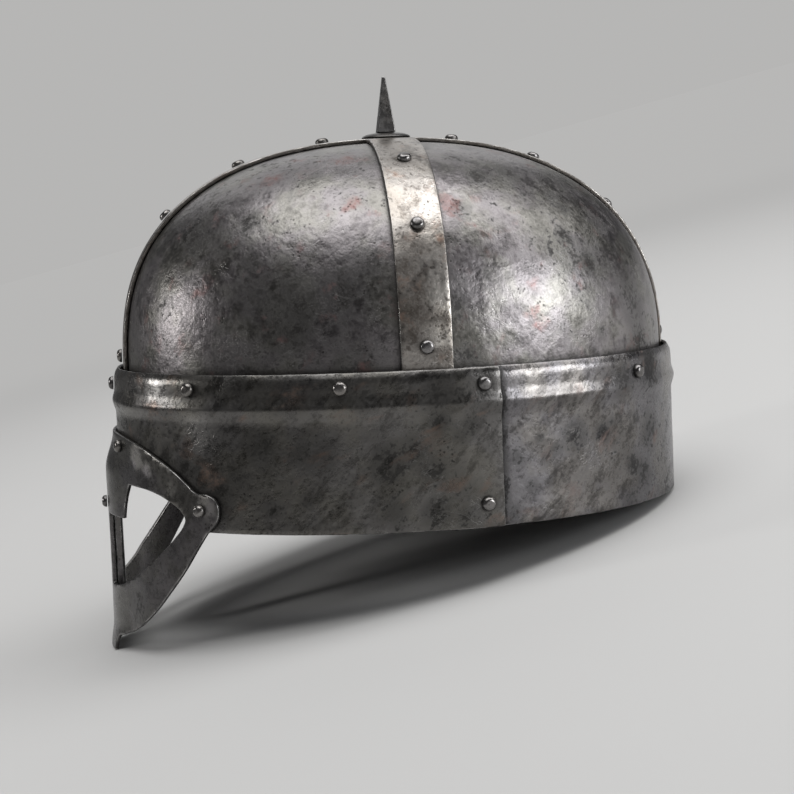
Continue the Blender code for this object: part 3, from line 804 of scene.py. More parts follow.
def band_grid(top):
    """Turns and sideways shifts of a band's points, from under the brow band to a turn."""
    climb = np.concatenate([[-1.0, -0.5], np.linspace(0, top, BAND_ROWS + 1)])
    sideways = np.linspace(-BAND_WIDTH / 2, BAND_WIDTH / 2, BAND_COLUMNS + 1)
    return np.meshgrid(climb, sideways, indexing="ij")


def band_piece(node, points):
    points = dented(points, away_from_middle(points))
    sheet_piece(node, points, "band", "band_iron", BAND_SHEET, True)


def ridge_band():
    """The strip over the top from the brow to the nape."""
    turn, shift = band_grid(math.pi / 2)
    front = over_dome(0.0, turn, shift, SEAT)
    back = over_dome(math.pi, turn, -shift, SEAT)
    band_piece("ridge_band", np.concatenate([front, back[::-1][1:]]))


def side_band(node, side):
    """The strip from the ridge band's edge down to the brow."""
    edge = BAND_WIDTH / 2 + SEAT
    turn, shift = band_grid(turn_beside_crown(edge))
    points = over_dome(math.pi / 2, turn, shift, SEAT)
    points[..., 0] = np.maximum(points[..., 0], edge)
    points[..., 0] *= side
    band_piece(node, points)


def brow_rows():
    """Heights of the brow band's rows, from the rim to its upper edge."""
    bead_foot = BROW_HEIGHT * BEAD_FOOT
    even = np.linspace(0, bead_foot, BROW_ROWS // 2, endpoint=False)
    shaped = np.linspace(bead_foot, BROW_HEIGHT, BROW_ROWS // 2 + 1)
    return np.concatenate([even, shaped])


def brow_front():
    """The front sheet, with the opening for the face."""
    spans, rises = np.array(FACE_EDGE).T
    inner = np.linspace(-FACE_HALF_SPAN, FACE_HALF_SPAN, round(2 * FACE_HALF_SPAN / BROW_STEP) + 1)
    outer_count = round((FRONT_SHEET_REACH - FACE_HALF_SPAN) / BROW_STEP)
    outer = np.linspace(FACE_HALF_SPAN, FRONT_SHEET_REACH, outer_count + 1)[1:]
    along = np.concatenate([-outer[::-1], inner, outer])
    foot = np.where(np.abs(along) <= FACE_HALF_SPAN + TINY,
                    FACE_RISE * np.interp(np.abs(along) / FACE_HALF_SPAN, spans, rises), 0.0)
    shares = brow_rows() / BROW_HEIGHT
    lengths, share = np.meshgrid(along, shares, indexing="ij")
    low = np.repeat(foot[:, None], len(shares), axis=1)
    heights = np.where(low > 0, low + (BROW_HEIGHT - low) * share, share * BROW_HEIGHT)
    points = dented(brow_front_point(lengths, heights), level_out(lengths), BENT_SHEET_DENTS)
    sheet_piece("brow_band_front", points, "brow", "brow_iron", BROW_SHEET, False)


def level_out(lengths):
    """Outward directions of the oval at lengths along it."""
    step = on_oval(lengths, 0.0, 1.0) - on_oval(lengths, 0.0, 0.0)
    return step / np.linalg.norm(step, axis=-1, keepdims=True)


def brow_back():
    """The back sheet, whose ends lie under the front sheet."""
    start = FRONT_SHEET_REACH - LAP_LENGTH
    half = np.linspace(start, HALF_OVAL, round((HALF_OVAL - start) / BROW_STEP) + 1)
    left, share = np.meshgrid(half, brow_rows() / BROW_HEIGHT, indexing="ij")
    halves = []
    for along in (left, -left):
        points = brow_back_point(along, share * BROW_HEIGHT)
        halves.append(dented(points, level_out(along), BENT_SHEET_DENTS))
    points = np.concatenate([halves[0], halves[1][::-1][1:]])
    # painted shade on the back sheet beside the step at the end of the front sheet
    beside = SEAM_SHADE * smooth_step(1 - (left - FRONT_SHEET_REACH) / SEAM_SHADE_WIDTH)
    dirt_and_shade = np.concatenate([beside, beside[::-1][1:]]).ravel()
    sheet_piece("brow_band_back", points, "brow", "brow_back_iron", BROW_SHEET, False, dirt_and_shade)


def flat_outline(name, loops):
    """A flat filled mesh from closed outlines of points, each with a mark if it is a corner."""
    curve = bpy.data.curves.new(name, "CURVE")
    curve.dimensions = "2D"
    curve.fill_mode = "BOTH"
    curve.resolution_u = OUTLINE_STEPS
    for points in loops:
        spline = curve.splines.new("BEZIER")
        spline.bezier_points.add(len(points) - 1)
        for knot, (along, height, mark) in zip(spline.bezier_points, points):
            knot.co = (along, height, 0)
            handle = "VECTOR" if mark else "AUTO"
            knot.handle_left_type = handle
            knot.handle_right_type = handle
        spline.use_cyclic_u = True
    holder = bpy.data.objects.new(name, curve)
    link(holder)
    bpy.context.view_layer.update()
    graph = bpy.context.evaluated_depsgraph_get()
    mesh = bpy.data.meshes.new_from_object(holder.evaluated_get(graph))
    bpy.data.objects.remove(holder, do_unlink=True)
    bpy.data.curves.remove(curve)
    return mesh


def every_part(shape):
    return shape.verts[:] + shape.edges[:] + shape.faces[:]


def cut_across(shape, axis, low, high):
    """Divide a flat mesh by even lines across one axis, so that it can bend."""
    count = round((high - low) / GUARD_STEP)
    for index in range(1, count):
        place = [0.0, 0.0, 0.0]
        place[axis] = low + (high - low) * index / count
        normal = [0.0, 0.0, 0.0]
        normal[axis] = 1.0
        bmesh.ops.bisect_plane(shape, geom=every_part(shape), plane_co=place, plane_no=normal)


def guard():
    """The bent sheet with both eye openings."""
    loops = [
        [(along * GUARD_HALF_SPAN, guard_height(up), mark) for along, up, *mark in outline]
        for outline in (GUARD_OUTLINE, EYE_OPENING)]
    mesh = flat_outline("spectacle_guard", loops)
    with editing(mesh) as shape:
        bmesh.ops.remove_doubles(shape, verts=shape.verts, dist=MERGE_GAP)
        bmesh.ops.dissolve_limit(
            shape, angle_limit=FLAT_ANGLE, verts=shape.verts, edges=shape.edges)
        cut_across(shape, 0, 0.0, GUARD_HALF_SPAN)
        cut_across(shape, 1, -GUARD_TIP, GUARD_TOP)
        bmesh.ops.mirror(shape, geom=every_part(shape), axis="X", merge_dist=MERGE_GAP)
        bmesh.ops.remove_doubles(shape, verts=shape.verts, dist=MERGE_GAP)
        flat = np.array([corner.co for corner in shape.verts])
        points = guard_point(flat[:, 0], flat[:, 1])
        bent = dented(points, level_out(flat[:, 0]), BENT_SHEET_DENTS)
        for corner, place in zip(shape.verts, bent):
            corner.co = place
    face_outwards(mesh)
    mesh.materials.clear()
    mark_stains(mesh, "guard")
    mesh.shade_smooth()
    piece = add_piece("spectacle_guard", mesh, "guard_iron")
    thicken(piece, GUARD_SHEET, False)
    round_edges(piece, THIN_EDGE)


def solid_piece(node, shape, height, cuts, look, edge, place=None):
    """A solid with rounded edges from a closed shape, its long edges divided by cuts."""
    uprights = [e for e in shape.edges if abs((e.verts[0].co - e.verts[1].co).z) > height / 2]
    bmesh.ops.subdivide_edges(shape, edges=uprights, cuts=cuts)
    mesh = bpy.data.meshes.new(node)
    shape.to_mesh(mesh)
    shape.free()
    soften(mesh, SOLID_CREASE_DEGREES)
    mark_stains(mesh, "none")
    piece = add_piece(node, mesh, look, place)
    round_edges(piece, edge, SOLID_CORNER_DEGREES)


def nasal_bar():
    """The square bar behind the guard's nose strip."""
    shape = bmesh.new()
    bmesh.ops.create_cube(shape, size=1)
    height = NASAL_TOP + NASAL_END
    for corner in shape.verts:
        corner.co.x *= NASAL_WIDTH
        corner.co.y = corner.co.y * NASAL_DEPTH + nasal_face() + NASAL_DEPTH / 2
        corner.co.z = corner.co.z * height + NASAL_TOP - height / 2
    solid_piece("nasal_bar", shape, height, NASAL_CUTS, "guard_iron", NASAL_BEVEL)


def turned_mesh(name, section, radius, height, sides):
    """A turned solid from a half section of shares of its radius and height."""
    rows = [(share * radius, up * height) for share, up in section if share > 0]
    angles = [2 * math.pi * i / sides for i in range(sides)]
    points = [(r * math.cos(a), r * math.sin(a), z) for r, z in rows for a in angles]
    faces = [
        (k * sides + i, (k + 1) * sides + i, (k + 1) * sides + (i + 1) % sides,
         k * sides + (i + 1) % sides)
        for k in range(len(rows) - 1) for i in range(sides)]
    faces.append(tuple(range(sides)))
    faces.append(tuple((len(rows) - 1) * sides + i for i in range(sides)))
    mesh = bpy.data.meshes.new(name)
    mesh.from_pydata(points, [], faces)
    with editing(mesh) as shape:
        bmesh.ops.recalc_face_normals(shape, faces=shape.faces)
    soften(mesh, TURNED_CREASE_DEGREES)
    mark_stains(mesh, "none")
    return mesh


def finial():
    """The domed washer and the four sided spike on it."""
    disc = turned_mesh("finial_disc", DISC_SECTION, DISC_RADIUS, DISC_HEIGHT, DISC_SIDES)
    base = BROW_HEIGHT + DOME_RISE + BAND_REACH + SEAT
    add_piece("finial_disc", disc, "finial_iron",
              Matrix.Translation((0, CROWN_SET_BACK, base)), edged=False)
    shape = bmesh.new()
    corner_reach = math.sqrt(2) / 2
    bmesh.ops.create_cone(shape, cap_ends=True, segments=4, radius1=SPIKE_SIDE * corner_reach,
                          radius2=SPIKE_TIP_SIDE * corner_reach, depth=SPIKE_HEIGHT)
    bmesh.ops.rotate(shape, verts=shape.verts, matrix=Matrix.Rotation(math.pi / 4, 3, "Z"))
    middle = base + DISC_HEIGHT + SEAT + SPIKE_HEIGHT / 2
    solid_piece("finial_spike", shape, SPIKE_HEIGHT, SPIKE_CUTS, "spike_iron", THIN_EDGE,
                Matrix.Translation((0, CROWN_SET_BACK, middle)))


def set_rivet(node, mesh, point, out, turn):
    """Seat a head on a sheet, turned a little so that no two look alike."""
    upright = Vector(out).to_track_quat("Z", "Y").to_matrix().to_4x4()
    place = Matrix.Translation(Vector(point) + Vector(out) * SEAT) @ upright
    place = place @ Matrix.Rotation(turn, 4, "Z")
    add_piece(node, mesh.copy(), "rivet_iron", place, edged=False)


def sheet_frame(place, along, height):
    """A point of a bent sheet and the direction that it faces there."""
    step = 0.0008
    point = place(along, height)
    across = place(along + step, height) - place(along - step, height)
    up = place(along, height + step) - place(along, height - step)
    out = np.cross(across, up)
    return point, out / np.linalg.norm(out)


def band_frame(bearing, turn):
    """The top of a band at a turn, and the direction that it faces there."""
    point = dome_point(np.array(bearing), np.array(turn))
    out = dome_normal(point)
    return point + out * BAND_REACH, out


def rivets():
    head = turned_mesh("rivet_head", RIVET_SECTION, RIVET_RADIUS, RIVET_HEIGHT, RIVET_SIDES)
    small = turned_mesh("small_head", RIVET_SECTION, SMALL_RIVET_RADIUS, RIVET_HEIGHT, RIVET_SIDES)
    draw = random.Random(RIVET_TURN_SEED)

    def one_rivet(name, mesh, point, out):
        set_rivet(name, mesh, point, out, draw.uniform(0, math.pi))

    def both_sides(start, end, mesh, point, out):
        """A rivet and its mirror image, with the side's name between start and end."""
        for side_name, side in SIDES:
            mirror = np.array([side, 1, 1])
            one_rivet(start + side_name + end, mesh, point * mirror, out * mirror)

    for place, bearing, turns in (
        ("front", 0.0, FRONT_RIDGE_RIVET_TURNS),
        ("back", math.pi, BACK_RIDGE_RIVET_TURNS),
    ):
        for index, degrees in enumerate(turns):
            point, out = band_frame(bearing, math.radians(degrees))
            one_rivet(f"ridge_rivet_{place}_{index + 1}", head, point, out)
    for index, degrees in enumerate(SIDE_RIVET_TURNS):
        point, out = band_frame(math.pi / 2, math.radians(degrees))
        both_sides("side_rivet_", f"_{index + 1}", head, point, out)
    lap = FRONT_SHEET_REACH - LAP_RIVET_INSET
    rows = [(name, along * HALF_OVAL, up) for name, along, up in BROW_RIVETS]
    rows += [(name, lap, up) for name, up in LAP_RIVETS]
    rows = [(name, head, along, up * BROW_HEIGHT) for name, along, up in rows]
    rows += [(name, small, along * GUARD_HALF_SPAN, up * GUARD_TOP)
             for name, along, up in GUARD_RIVETS]
    for name, mesh, along, height in rows:
        surface = brow_front_point if along <= FRONT_SHEET_REACH else brow_back_point
        if mesh is small:
            surface = guard_point
        point, out = sheet_frame(surface, along, height)
        if along == 0:
            one_rivet(name, mesh, point, out)
        else:
            both_sides(name + "_", "", mesh, point, out)


# Materials

class Weave:
    """Adds nodes to one material and joins them. A value can be a number or a socket."""

    def __init__(self, name):
        self.material = bpy.data.materials.new(name)
        self.material.use_nodes = True
        self.tree = self.material.node_tree
        self.shader = self.tree.nodes["Principled BSDF"]

    def new(self, kind):
        return self.tree.nodes.new("ShaderNode" + kind)

    def node(self, kind, **inputs):
        made = self.new(kind)
        for name, value in inputs.items():
            self.join(value, made.inputs[name])
        return made

    def join(self, value, socket):
        if isinstance(value, bpy.types.NodeSocket):
            self.tree.links.new(value, socket)
        else:
            socket.default_value = value

    def maths(self, operation, first, second=0.0, third=0.0):
        made = self.new("Math")
        made.operation = operation
        for value, socket in zip((first, second, third), made.inputs):
            self.join(value, socket)
        return made.outputs[0]

    def noise(self, place, name):
        """One of the NOISES at a place."""
        scale, detail, roughness, distortion = NOISES[name]
        made = self.node("TexNoise", Vector=place, Scale=scale, Detail=detail,
                         Roughness=roughness, Distortion=distortion)
        return made.outputs["Fac"]

    def place(self):
        return self.new("TexCoord").outputs["Object"]

    def times(self, value, share, added=0.0):
        """A share of a value, added to another."""
        return self.maths("MULTIPLY_ADD", value, share, added)

    def step(self, value, name):
        """Ease from one value to another as the input goes through a range of SETS_IN."""
        return self.ease(value, *SETS_IN[name])

    def ease(self, value, low, high, from_value=0.0, to_value=1.0):
        made = self.new("MapRange")
        made.interpolation_type = "SMOOTHSTEP"
        for name, given in (("Value", value), ("From Min", low), ("From Max", high),
                            ("To Min", from_value), ("To Max", to_value)):
            self.join(given, made.inputs[name])
        return made.outputs["Result"]

    def mix(self, share, first, second, blend="MIX"):
        made = self.new("Mix")
        made.data_type = "RGBA"
        made.blend_type = blend
        self.join(share, made.inputs["Factor"])
        self.join(first, colour_socket(made, "A"))
        self.join(second, colour_socket(made, "B"))
        return next(s for s in made.outputs if s.type == "RGBA")

    def turned(self, place, turn, size):
        """The place in turned axes, in units of a size along each of them."""
        made = self.new("Mapping")
        made.vector_type = "TEXTURE"
        self.join(place, made.inputs["Vector"])
        made.inputs["Rotation"].default_value = turn
        made.inputs["Scale"].default_value = size
        return made.outputs["Vector"]

    def raise_surface(self, height, strength, distance):
        bump = self.node("Bump", Height=height, Strength=strength, Distance=distance)
        self.join(bump.outputs["Normal"], self.shader.inputs["Normal"])

    def amount(self, name):
        """How much of a stain lies at each place."""
        made = self.new("Attribute")
        made.attribute_name = name
        return made.outputs["Fac"]


def colour_socket(node, name):
    return next(s for s in node.inputs if s.name == name and s.type == "RGBA")


def tone(red, green, blue):
    return (red, green, blue, 1.0)


# Colours and finish of each kind of piece: dark and clean iron, grime, also used for painted
# shade, rust, iron worn bare, also used for painted highlights, the cooler and the warmer cast,
# how stained and how rusted it is beyond its marked stains, its roughness, its relief and its
# scratches. Clouds of dirt are turned by tilt, and their sizes are in metres.
ROUND_CLOUDS = dict(tilt=(0.5, 0.9, 0.3), cloud=(0.013, 0.013, 0.013))
SLANTED_CLOUDS = dict(tilt=(0.57, 0.0, 0.0), cloud=(0.015, 0.026, 0.009))
SMALL_PART = dict(
    grime_and_shade=(0.030, 0.028, 0.026), bare_and_highlight=(0.45, 0.44, 0.43), cool=(1.0, 0.99, 1.0),
    warm=(1.02, 0.99, 0.95), **ROUND_CLOUDS)
LOOKS = {
    "dome_iron": dict(
        dark=(0.105, 0.102, 0.100), clean=(0.325, 0.317, 0.312),
        grime_and_shade=(0.026, 0.024, 0.023), rust=(0.185, 0.112, 0.106),
        bare_and_highlight=(0.50, 0.49, 0.48), cool=(1.03, 0.985, 1.02), warm=(1.0, 0.99, 0.93),
        stained=0.0, rusted=0.0, rough=0.32, relief=1.0, scratched=0.6, **ROUND_CLOUDS),
    "band_iron": dict(
        dark=(0.13, 0.119, 0.110), clean=(0.655, 0.627, 0.597),
        grime_and_shade=(0.050, 0.042, 0.035), rust=(0.26, 0.175, 0.135),
        bare_and_highlight=(0.74, 0.71, 0.67), cool=(1.0, 0.985, 0.97), warm=(1.02, 0.985, 0.935),
        stained=0.03, rusted=0.02, rough=0.30, relief=1.0, scratched=0.6, **ROUND_CLOUDS),
    "brow_iron": dict(
        dark=(0.066, 0.064, 0.061), clean=(0.200, 0.195, 0.188),
        grime_and_shade=(0.016, 0.015, 0.014), rust=(0.165, 0.118, 0.095),
        bare_and_highlight=(0.40, 0.39, 0.375), cool=(1.0, 0.99, 1.0), warm=(1.01, 0.99, 0.94),
        stained=0.0, rusted=0.02, rough=0.28, relief=0.7, scratched=0.8, **SLANTED_CLOUDS),
    "brow_back_iron": dict(
        dark=(0.075, 0.073, 0.073), clean=(0.285, 0.279, 0.280),
        grime_and_shade=(0.020, 0.019, 0.019), rust=(0.19, 0.145, 0.13),
        bare_and_highlight=(0.42, 0.41, 0.405), cool=(1.0, 0.985, 1.02), warm=(1.02, 0.985, 0.94),
        stained=0.0, rusted=0.0, rough=0.28, relief=0.8, scratched=0.8, **SLANTED_CLOUDS),
    "guard_iron": dict(
        dark=(0.100, 0.098, 0.096), clean=(0.175, 0.171, 0.168),
        grime_and_shade=(0.034, 0.032, 0.030), rust=(0.09, 0.068, 0.06),
        bare_and_highlight=(0.52, 0.51, 0.50), cool=(1.02, 0.985, 1.02), warm=(1.01, 0.99, 0.94),
        stained=-0.06, rusted=-0.06, rough=0.28, relief=0.25, scratched=0.3, **ROUND_CLOUDS),
    "rivet_iron": dict(
        dark=(0.085, 0.083, 0.081), clean=(0.28, 0.272, 0.268), rust=(0.12, 0.085, 0.075),
        stained=-0.04, rusted=-0.06, rough=0.24, relief=0.4, scratched=0.2, **SMALL_PART),
    "finial_iron": dict(
        dark=(0.045, 0.044, 0.043), clean=(0.10, 0.098, 0.097), rust=(0.12, 0.09, 0.08),
        stained=-0.02, rusted=-0.06, rough=0.32, relief=0.6, scratched=0.4, **SMALL_PART),
    "spike_iron": dict(
        dark=(0.13, 0.127, 0.125), clean=(0.42, 0.412, 0.405), rust=(0.12, 0.09, 0.08),
        stained=-0.02, rusted=-0.06, rough=0.28, relief=0.6, scratched=0.4, **SMALL_PART),
}
SCRATCH_WAYS = (
    # turn about each axis, length along each turned axis
    ((0.25, 0.0, 0.1), (0.0024, 0.034, 0.0024)),
    ((-0.7, 0.3, -0.2), (0.0024, 0.038, 0.0024)),
    ((0.1, 0.2, 0.0), (0.034, 0.0024, 0.0024)),
)


# Noises of the materials. Clouds, mottle, red and scratches are in units of their own sizes,
# the others are metres apart by one over their scale.
NOISES = {
    # scale, detail, roughness, distortion
    "broad": (30.0, 2.0, 0.5, 0.0),
    "clouds": (1.0, 8.0, 0.62, 0.1),
    "mottle": (2.5, 8.0, 0.66, 0.1),
    "fine": (560.0, 5.0, 0.62, 0.0),
    "grain": (1500.0, 2.0, 0.5, 0.0),
    "cast": (42.0, 4.0, 0.55, 0.0),
    "red": (1.2, 6.0, 0.60, 0.2),
    "pit groups": (90.0, 3.0, 0.6, 0.0),
    "scratch": (1.0, 1.0, 0.4, 0.0),
    "scratch groups": (48.0, 2.0, 0.5, 0.0),
    "ripple": (75.0, 2.0, 0.45, 0.0),
    "dimple": (230.0, 3.0, 0.5, 0.0),
    "edge patches": (140.0, 5.0, 0.65, 0.0),
    "edge relief": (600.0, 3.0, 0.6, 0.0),
    "floor": (1.2, 3.0, 0.5, 0.0),
}

# Levels between which each mark of use sets in, and what it goes from and to there if that
# isn't 0 and 1
SETS_IN = {
    "clean": (0.37, 0.63),
    "rubbed_and_highlighted": (0.56, 0.74),
    "warm": (0.42, 0.60),
    "thin dirt": (0.48, 0.61),
    "deep dirt": (0.56, 0.66),
    "speckle": (0.46, 0.62, 0.0, 0.55),
    "red": (0.57, 0.76),
    "red flecks": (0.44, 0.58, 0.40, 0.90),
    "pit": (0.12, 0.34, 1.0, 0.0),
    "pit groups": (0.53, 0.66),
    "corner_soil_and_shade": (0.70, 1.12, 1.0, 0.0),
    "scratch": (0.003, 0.012, 1.0, 0.0),
    "scratch groups": (0.54, 0.64),
    "edge patches": (0.40, 0.62),
}

# How far a marked stain raises the level at which its kind sets in
WORN_AND_HIGHLIGHT_PULL = 0.30
THIN_PULL = 0.20
DEEP_PULL = 0.145
RED_PULL = 0.22
PIT_PULL = 0.10

RED_TILT = (0.3, 0.8, 0.1)
PITS_PER_METRE = 520.0
HOLLOW_REACH = 0.006
HOLLOW_SAMPLES = 6
SCRATCH_LEVEL = 0.56
RELIEF_HEIGHT = 0.0005
EDGE_RELIEF_HEIGHT = 0.0003
EDGE_BRIGHTNESS = 0.65


def worn_iron(name, dark, clean, grime_and_shade, rust, bare_and_highlight, cool, warm, stained, rusted, rough, relief,
              scratched, tilt, cloud):
    """Worn iron: mottled grey, with grime, faint rust, pits, thin scratches and fine relief, with
    painted shade in its corners and painted highlights where they are marked.
    """
    w = Weave(name)
    dark, clean, grime_and_shade, rust, bare_and_highlight, cool, warm = (
        tone(*colour) for colour in (dark, clean, grime_and_shade, rust, bare_and_highlight, cool, warm))
    place = w.place()
    clouds = w.noise(w.turned(place, tilt, cloud), "clouds")
    mottle = w.noise(w.turned(place, tilt, cloud), "mottle")
    fine = w.noise(place, "fine")

    # the sheet's own tone, lighter where it is worn and where a highlight is painted on
    tones = w.times(clouds, 0.42, w.times(mottle, 0.36, w.times(fine, 0.22)))
    colour = w.mix(w.step(tones, "clean"), dark, clean)
    rubbed_and_highlighted = w.step(w.times(w.amount("worn_and_highlighted"), WORN_AND_HIGHLIGHT_PULL, tones), "rubbed_and_highlighted")
    colour = w.mix(w.times(rubbed_and_highlighted, w.amount("worn_and_highlighted")), colour, bare_and_highlight)

    # cooler and warmer greys
    cast = w.mix(w.step(w.noise(place, "cast"), "warm"), cool, warm)
    colour = w.mix(1.0, colour, cast, "MULTIPLY")

    # soft dirt, then the deeper grime within it, speckled at its edges. Both follow the marked
    # grime, so they also paint the shade that some of those stains stand for
    drift = w.times(w.maths("SUBTRACT", w.noise(place, "broad"), 0.5), 0.30, stained)
    thin_level = w.maths("ADD", w.times(w.amount("grime_and_shade"), THIN_PULL, tones), drift)
    thin = w.step(thin_level, "thin dirt")
    patchy = w.times(mottle, 0.50, w.times(fine, 0.50))
    deep_level = w.maths("ADD", w.times(w.amount("grime_and_shade"), DEEP_PULL, patchy), drift)
    deep = w.step(deep_level, "deep dirt")
    colour = w.mix(w.times(thin, 0.60), colour, dark)
    speckled = w.mix(w.step(fine, "speckle"), grime_and_shade, dark)
    colour = w.mix(w.times(deep, 0.92), colour, speckled)

    # reddish stains
    red = w.noise(w.turned(place, RED_TILT, cloud), "red")
    red_level = w.maths("ADD", red, w.times(w.amount("rust"), RED_PULL, rusted))
    reddened = w.times(w.step(red_level, "red"), w.step(patchy, "red flecks"))
    colour = w.mix(reddened, colour, rust)

    # pits, in groups
    spots = w.node("TexVoronoi", Vector=place, Scale=PITS_PER_METRE)
    grouped = w.times(w.amount("rust"), PIT_PULL, w.noise(place, "pit groups"))
    pit = w.times(w.step(spots.outputs["Distance"], "pit"), w.step(grouped, "pit groups"))
    colour = w.mix(w.times(pit, 0.70), colour, grime_and_shade)

    # dirt and painted shade in the corners, darker where other surfaces lie close
    near = w.node("AmbientOcclusion", Distance=HOLLOW_REACH)
    near.samples = HOLLOW_SAMPLES
    corner_soil_and_shade = w.step(w.times(patchy, 0.40, near.outputs["AO"]), "corner_soil_and_shade")
    colour = w.mix(w.times(corner_soil_and_shade, 0.85), colour, grime_and_shade)

    # thin scratches
    marks = 0.0
    for turn, length in SCRATCH_WAYS:
        line = w.noise(w.turned(place, turn, length), "scratch")
        away = w.maths("ABSOLUTE", w.maths("SUBTRACT", line, SCRATCH_LEVEL))
        marks = w.maths("MAXIMUM", marks, w.step(away, "scratch"))
    some = w.step(w.noise(place, "scratch groups"), "scratch groups")
    marks = w.times(w.times(marks, some), scratched)
    colour = w.mix(w.times(marks, 0.6), colour, clean)
    w.join(colour, w.shader.inputs["Base Color"])

    # dirt, and the corners painted with shade, are duller than bare iron
    dull = w.maths("MAXIMUM", w.times(thin, 0.30, deep), corner_soil_and_shade)
    roughness = w.times(patchy, 0.30, w.times(dull, 0.20, rough - 0.15))
    w.join(w.times(marks, -0.08, roughness), w.shader.inputs["Roughness"])
    w.join(w.times(w.maths("MINIMUM", dull, 1.0), -0.30, 1.0), w.shader.inputs["Metallic"])
    w.join(w.times(deep, -0.35, 0.45), w.shader.inputs["Specular IOR Level"])

    # hammered ripples, then ever finer relief
    height = 0.0
    for part, share in (
        (w.noise(place, "dimple"), 0.42),
        (w.noise(place, "ripple"), 0.80),
        (fine, 0.27),
        (w.noise(place, "grain"), 0.055),
        (deep, -0.05),
        (pit, -0.10),
        (marks, -0.05),
    ):
        height = w.times(part, share, height)
    w.raise_surface(height, 1.0, RELIEF_HEIGHT * relief)
    return w.material


def rubbed_edge(name, look):
    """The same iron rubbed bright on a cut edge, with grime left here and there."""
    w = Weave(name)
    place = w.place()
    bright = tone(*(channel * EDGE_BRIGHTNESS for channel in look["bare_and_highlight"]))
    patchy = w.step(w.noise(place, "edge patches"), "edge patches")
    w.join(w.mix(patchy, tone(*look["dark"]), bright), w.shader.inputs["Base Color"])
    w.join(w.times(patchy, -0.14, look["rough"] + 0.10), w.shader.inputs["Roughness"])
    w.shader.inputs["Metallic"].default_value = 1.0
    w.raise_surface(w.noise(place, "edge relief"), 0.3, EDGE_RELIEF_HEIGHT)
    return w.material


IRON = {slot: worn_iron(slot + "_worn", **look) for slot, look in LOOKS.items()}
EDGE_IRON = {slot: rubbed_edge(slot + "_edge", look) for slot, look in LOOKS.items()}


# Floor and light

FLOOR_SIDE = 60.0
FLOOR_TONE = (0.54, 0.537, 0.531)
FLOOR_SHADE = 0.97
FLOOR_FADES = (0.5, 2.4)
FLOOR_ROUGHNESS = 0.9
FLOOR_SPECULAR = 0.1


def add_floor():
    """A pale floor that turns into the plain backdrop further out."""
    mesh = bpy.data.meshes.new("studio_floor")
    half = FLOOR_SIDE / 2
    mesh.from_pydata([(-half, -half, 0), (half, -half, 0), (half, half, 0), (-half, half, 0)], [],
                     [(0, 1, 2, 3)])
    floor = bpy.data.objects.new("studio_floor", mesh)
    link(floor)
    w = Weave("studio_floor")
    place = w.place()
    away = w.new("VectorMath")
    away.operation = "LENGTH"
    w.join(place, away.inputs[0])
    fade = w.ease(away.outputs["Value"], *FLOOR_FADES)
    darker = tone(*(channel * FLOOR_SHADE for channel in FLOOR_TONE))
    painted = w.mix(w.noise(place, "floor"), darker, tone(*FLOOR_TONE))
    w.join(w.mix(fade, painted, tone(0.0, 0.0, 0.0)), w.shader.inputs["Base Color"])
    w.shader.inputs["Emission Color"].default_value = tone(*BACKDROP_TONE)
    w.join(fade, w.shader.inputs["Emission Strength"])
    w.shader.inputs["Roughness"].default_value = FLOOR_ROUGHNESS
    w.shader.inputs["Specular IOR Level"].default_value = FLOOR_SPECULAR
    mesh.materials.append(w.material)


# Soft boxes: degrees round from the front towards the wearer's left, degrees above the floor,
# distance, width, height, brightness and colour
SOFT_BOXES = (
    ("front_box", -10, 24, 1.17, 0.14, 0.30, 17.0, (1.0, 0.99, 0.975)),
    ("rear_box", 144, 5, 1.2, 0.70, 0.46, 7.2, (0.97, 0.985, 1.0)),
    ("rear_high_box", 172, 42, 1.4, 0.74, 1.10, 3.0, (1.0, 1.0, 1.0)),
    ("far_box", -100, 38, 1.4, 1.20, 1.20, 0.75, (1.0, 1.0, 1.0)),
)
SUN_STRENGTH = 2.0
SUN_SPREAD = 54.0
SUN_FROM = (130, 82)
HELMET_MIDDLE = (0.0, 0.0, 0.09)
BACKDROP_TONE = (0.47, 0.467, 0.461)
ROOM_TONE = (0.10, 0.10, 0.102)


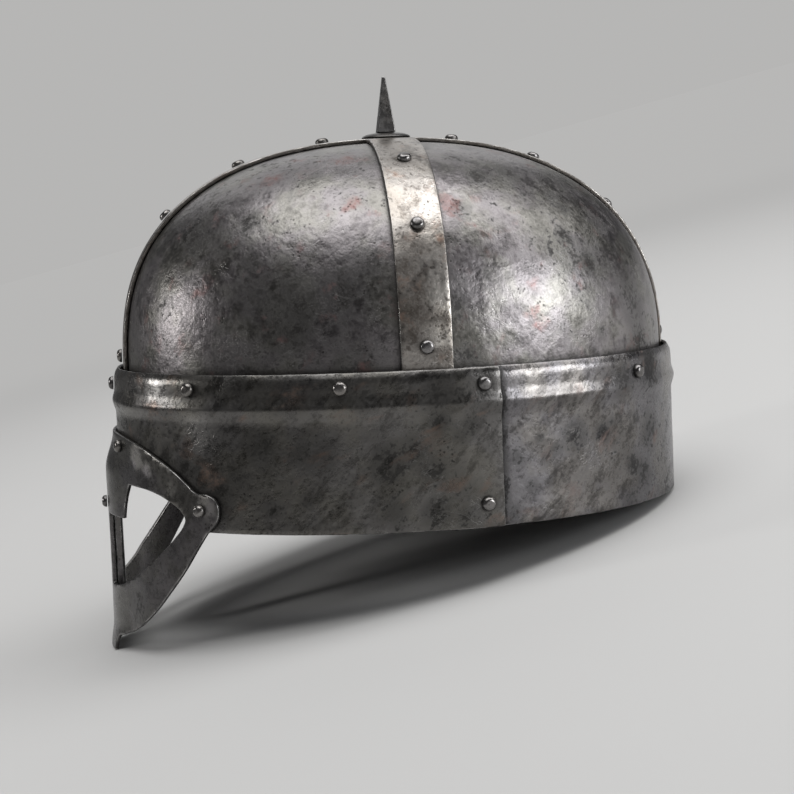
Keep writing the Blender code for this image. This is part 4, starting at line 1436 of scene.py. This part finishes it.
def direction(round_to, above):
    """The way out to a place round the helmet, in degrees from the front and from the floor."""
    turn, rise = math.radians(round_to), math.radians(above)
    return Vector((math.sin(turn) * math.cos(rise), -math.cos(turn) * math.cos(rise),
                   math.sin(rise)))


def add_lights():
    for name, round_to, above, distance, width, height, brightness, colour in SOFT_BOXES:
        data = bpy.data.lights.new(name, "AREA")
        data.shape = "RECTANGLE"
        data.size = width
        data.size_y = height
        data.energy = brightness * math.pi * width * height
        data.color = colour
        way = direction(round_to, above)
        place_light(data, Vector(HELMET_MIDDLE) + way * distance, way)
    data = bpy.data.lights.new("overhead_panel", "SUN")
    data.energy = SUN_STRENGTH
    data.angle = math.radians(SUN_SPREAD)
    place_light(data, direction(*SUN_FROM), direction(*SUN_FROM))


def place_light(data, where, way):
    light = bpy.data.objects.new(data.name, data)
    light.location = where
    light.rotation_mode = "QUATERNION"
    light.rotation_quaternion = way.to_track_quat("Z", "Y")
    link(light)


def add_room():
    """A dim room round the object, pale where the camera looks straight at it."""
    world = bpy.data.worlds.new("studio")
    world.use_nodes = True
    tree = world.node_tree
    background = tree.nodes["Background"]
    path = tree.nodes.new("ShaderNodeLightPath")
    seen = tree.nodes.new("ShaderNodeMix")
    seen.data_type = "RGBA"
    tree.links.new(path.outputs["Is Camera Ray"], seen.inputs["Factor"])
    colour_socket(seen, "A").default_value = tone(*ROOM_TONE)
    colour_socket(seen, "B").default_value = tone(*BACKDROP_TONE)
    output = next(s for s in seen.outputs if s.type == "RGBA")
    tree.links.new(output, background.inputs["Color"])
    bpy.context.scene.world = world


def set_view():
    """Plain display tones, because the photograph's blacks are deep and its lights bright."""
    bpy.context.scene.view_settings.view_transform = "Standard"


def build():
    set_view()
    for side_name, side in SIDES:
        dome_plate(f"dome_plate_front_{side_name}", False, side)
        dome_plate(f"dome_plate_back_{side_name}", True, side)
        side_band(f"side_band_{side_name}", side)
    ridge_band()
    brow_front()
    brow_back()
    guard()
    nasal_bar()
    finial()
    rivets()
    add_floor()
    add_lights()
    add_room()
    add_camera()


build()
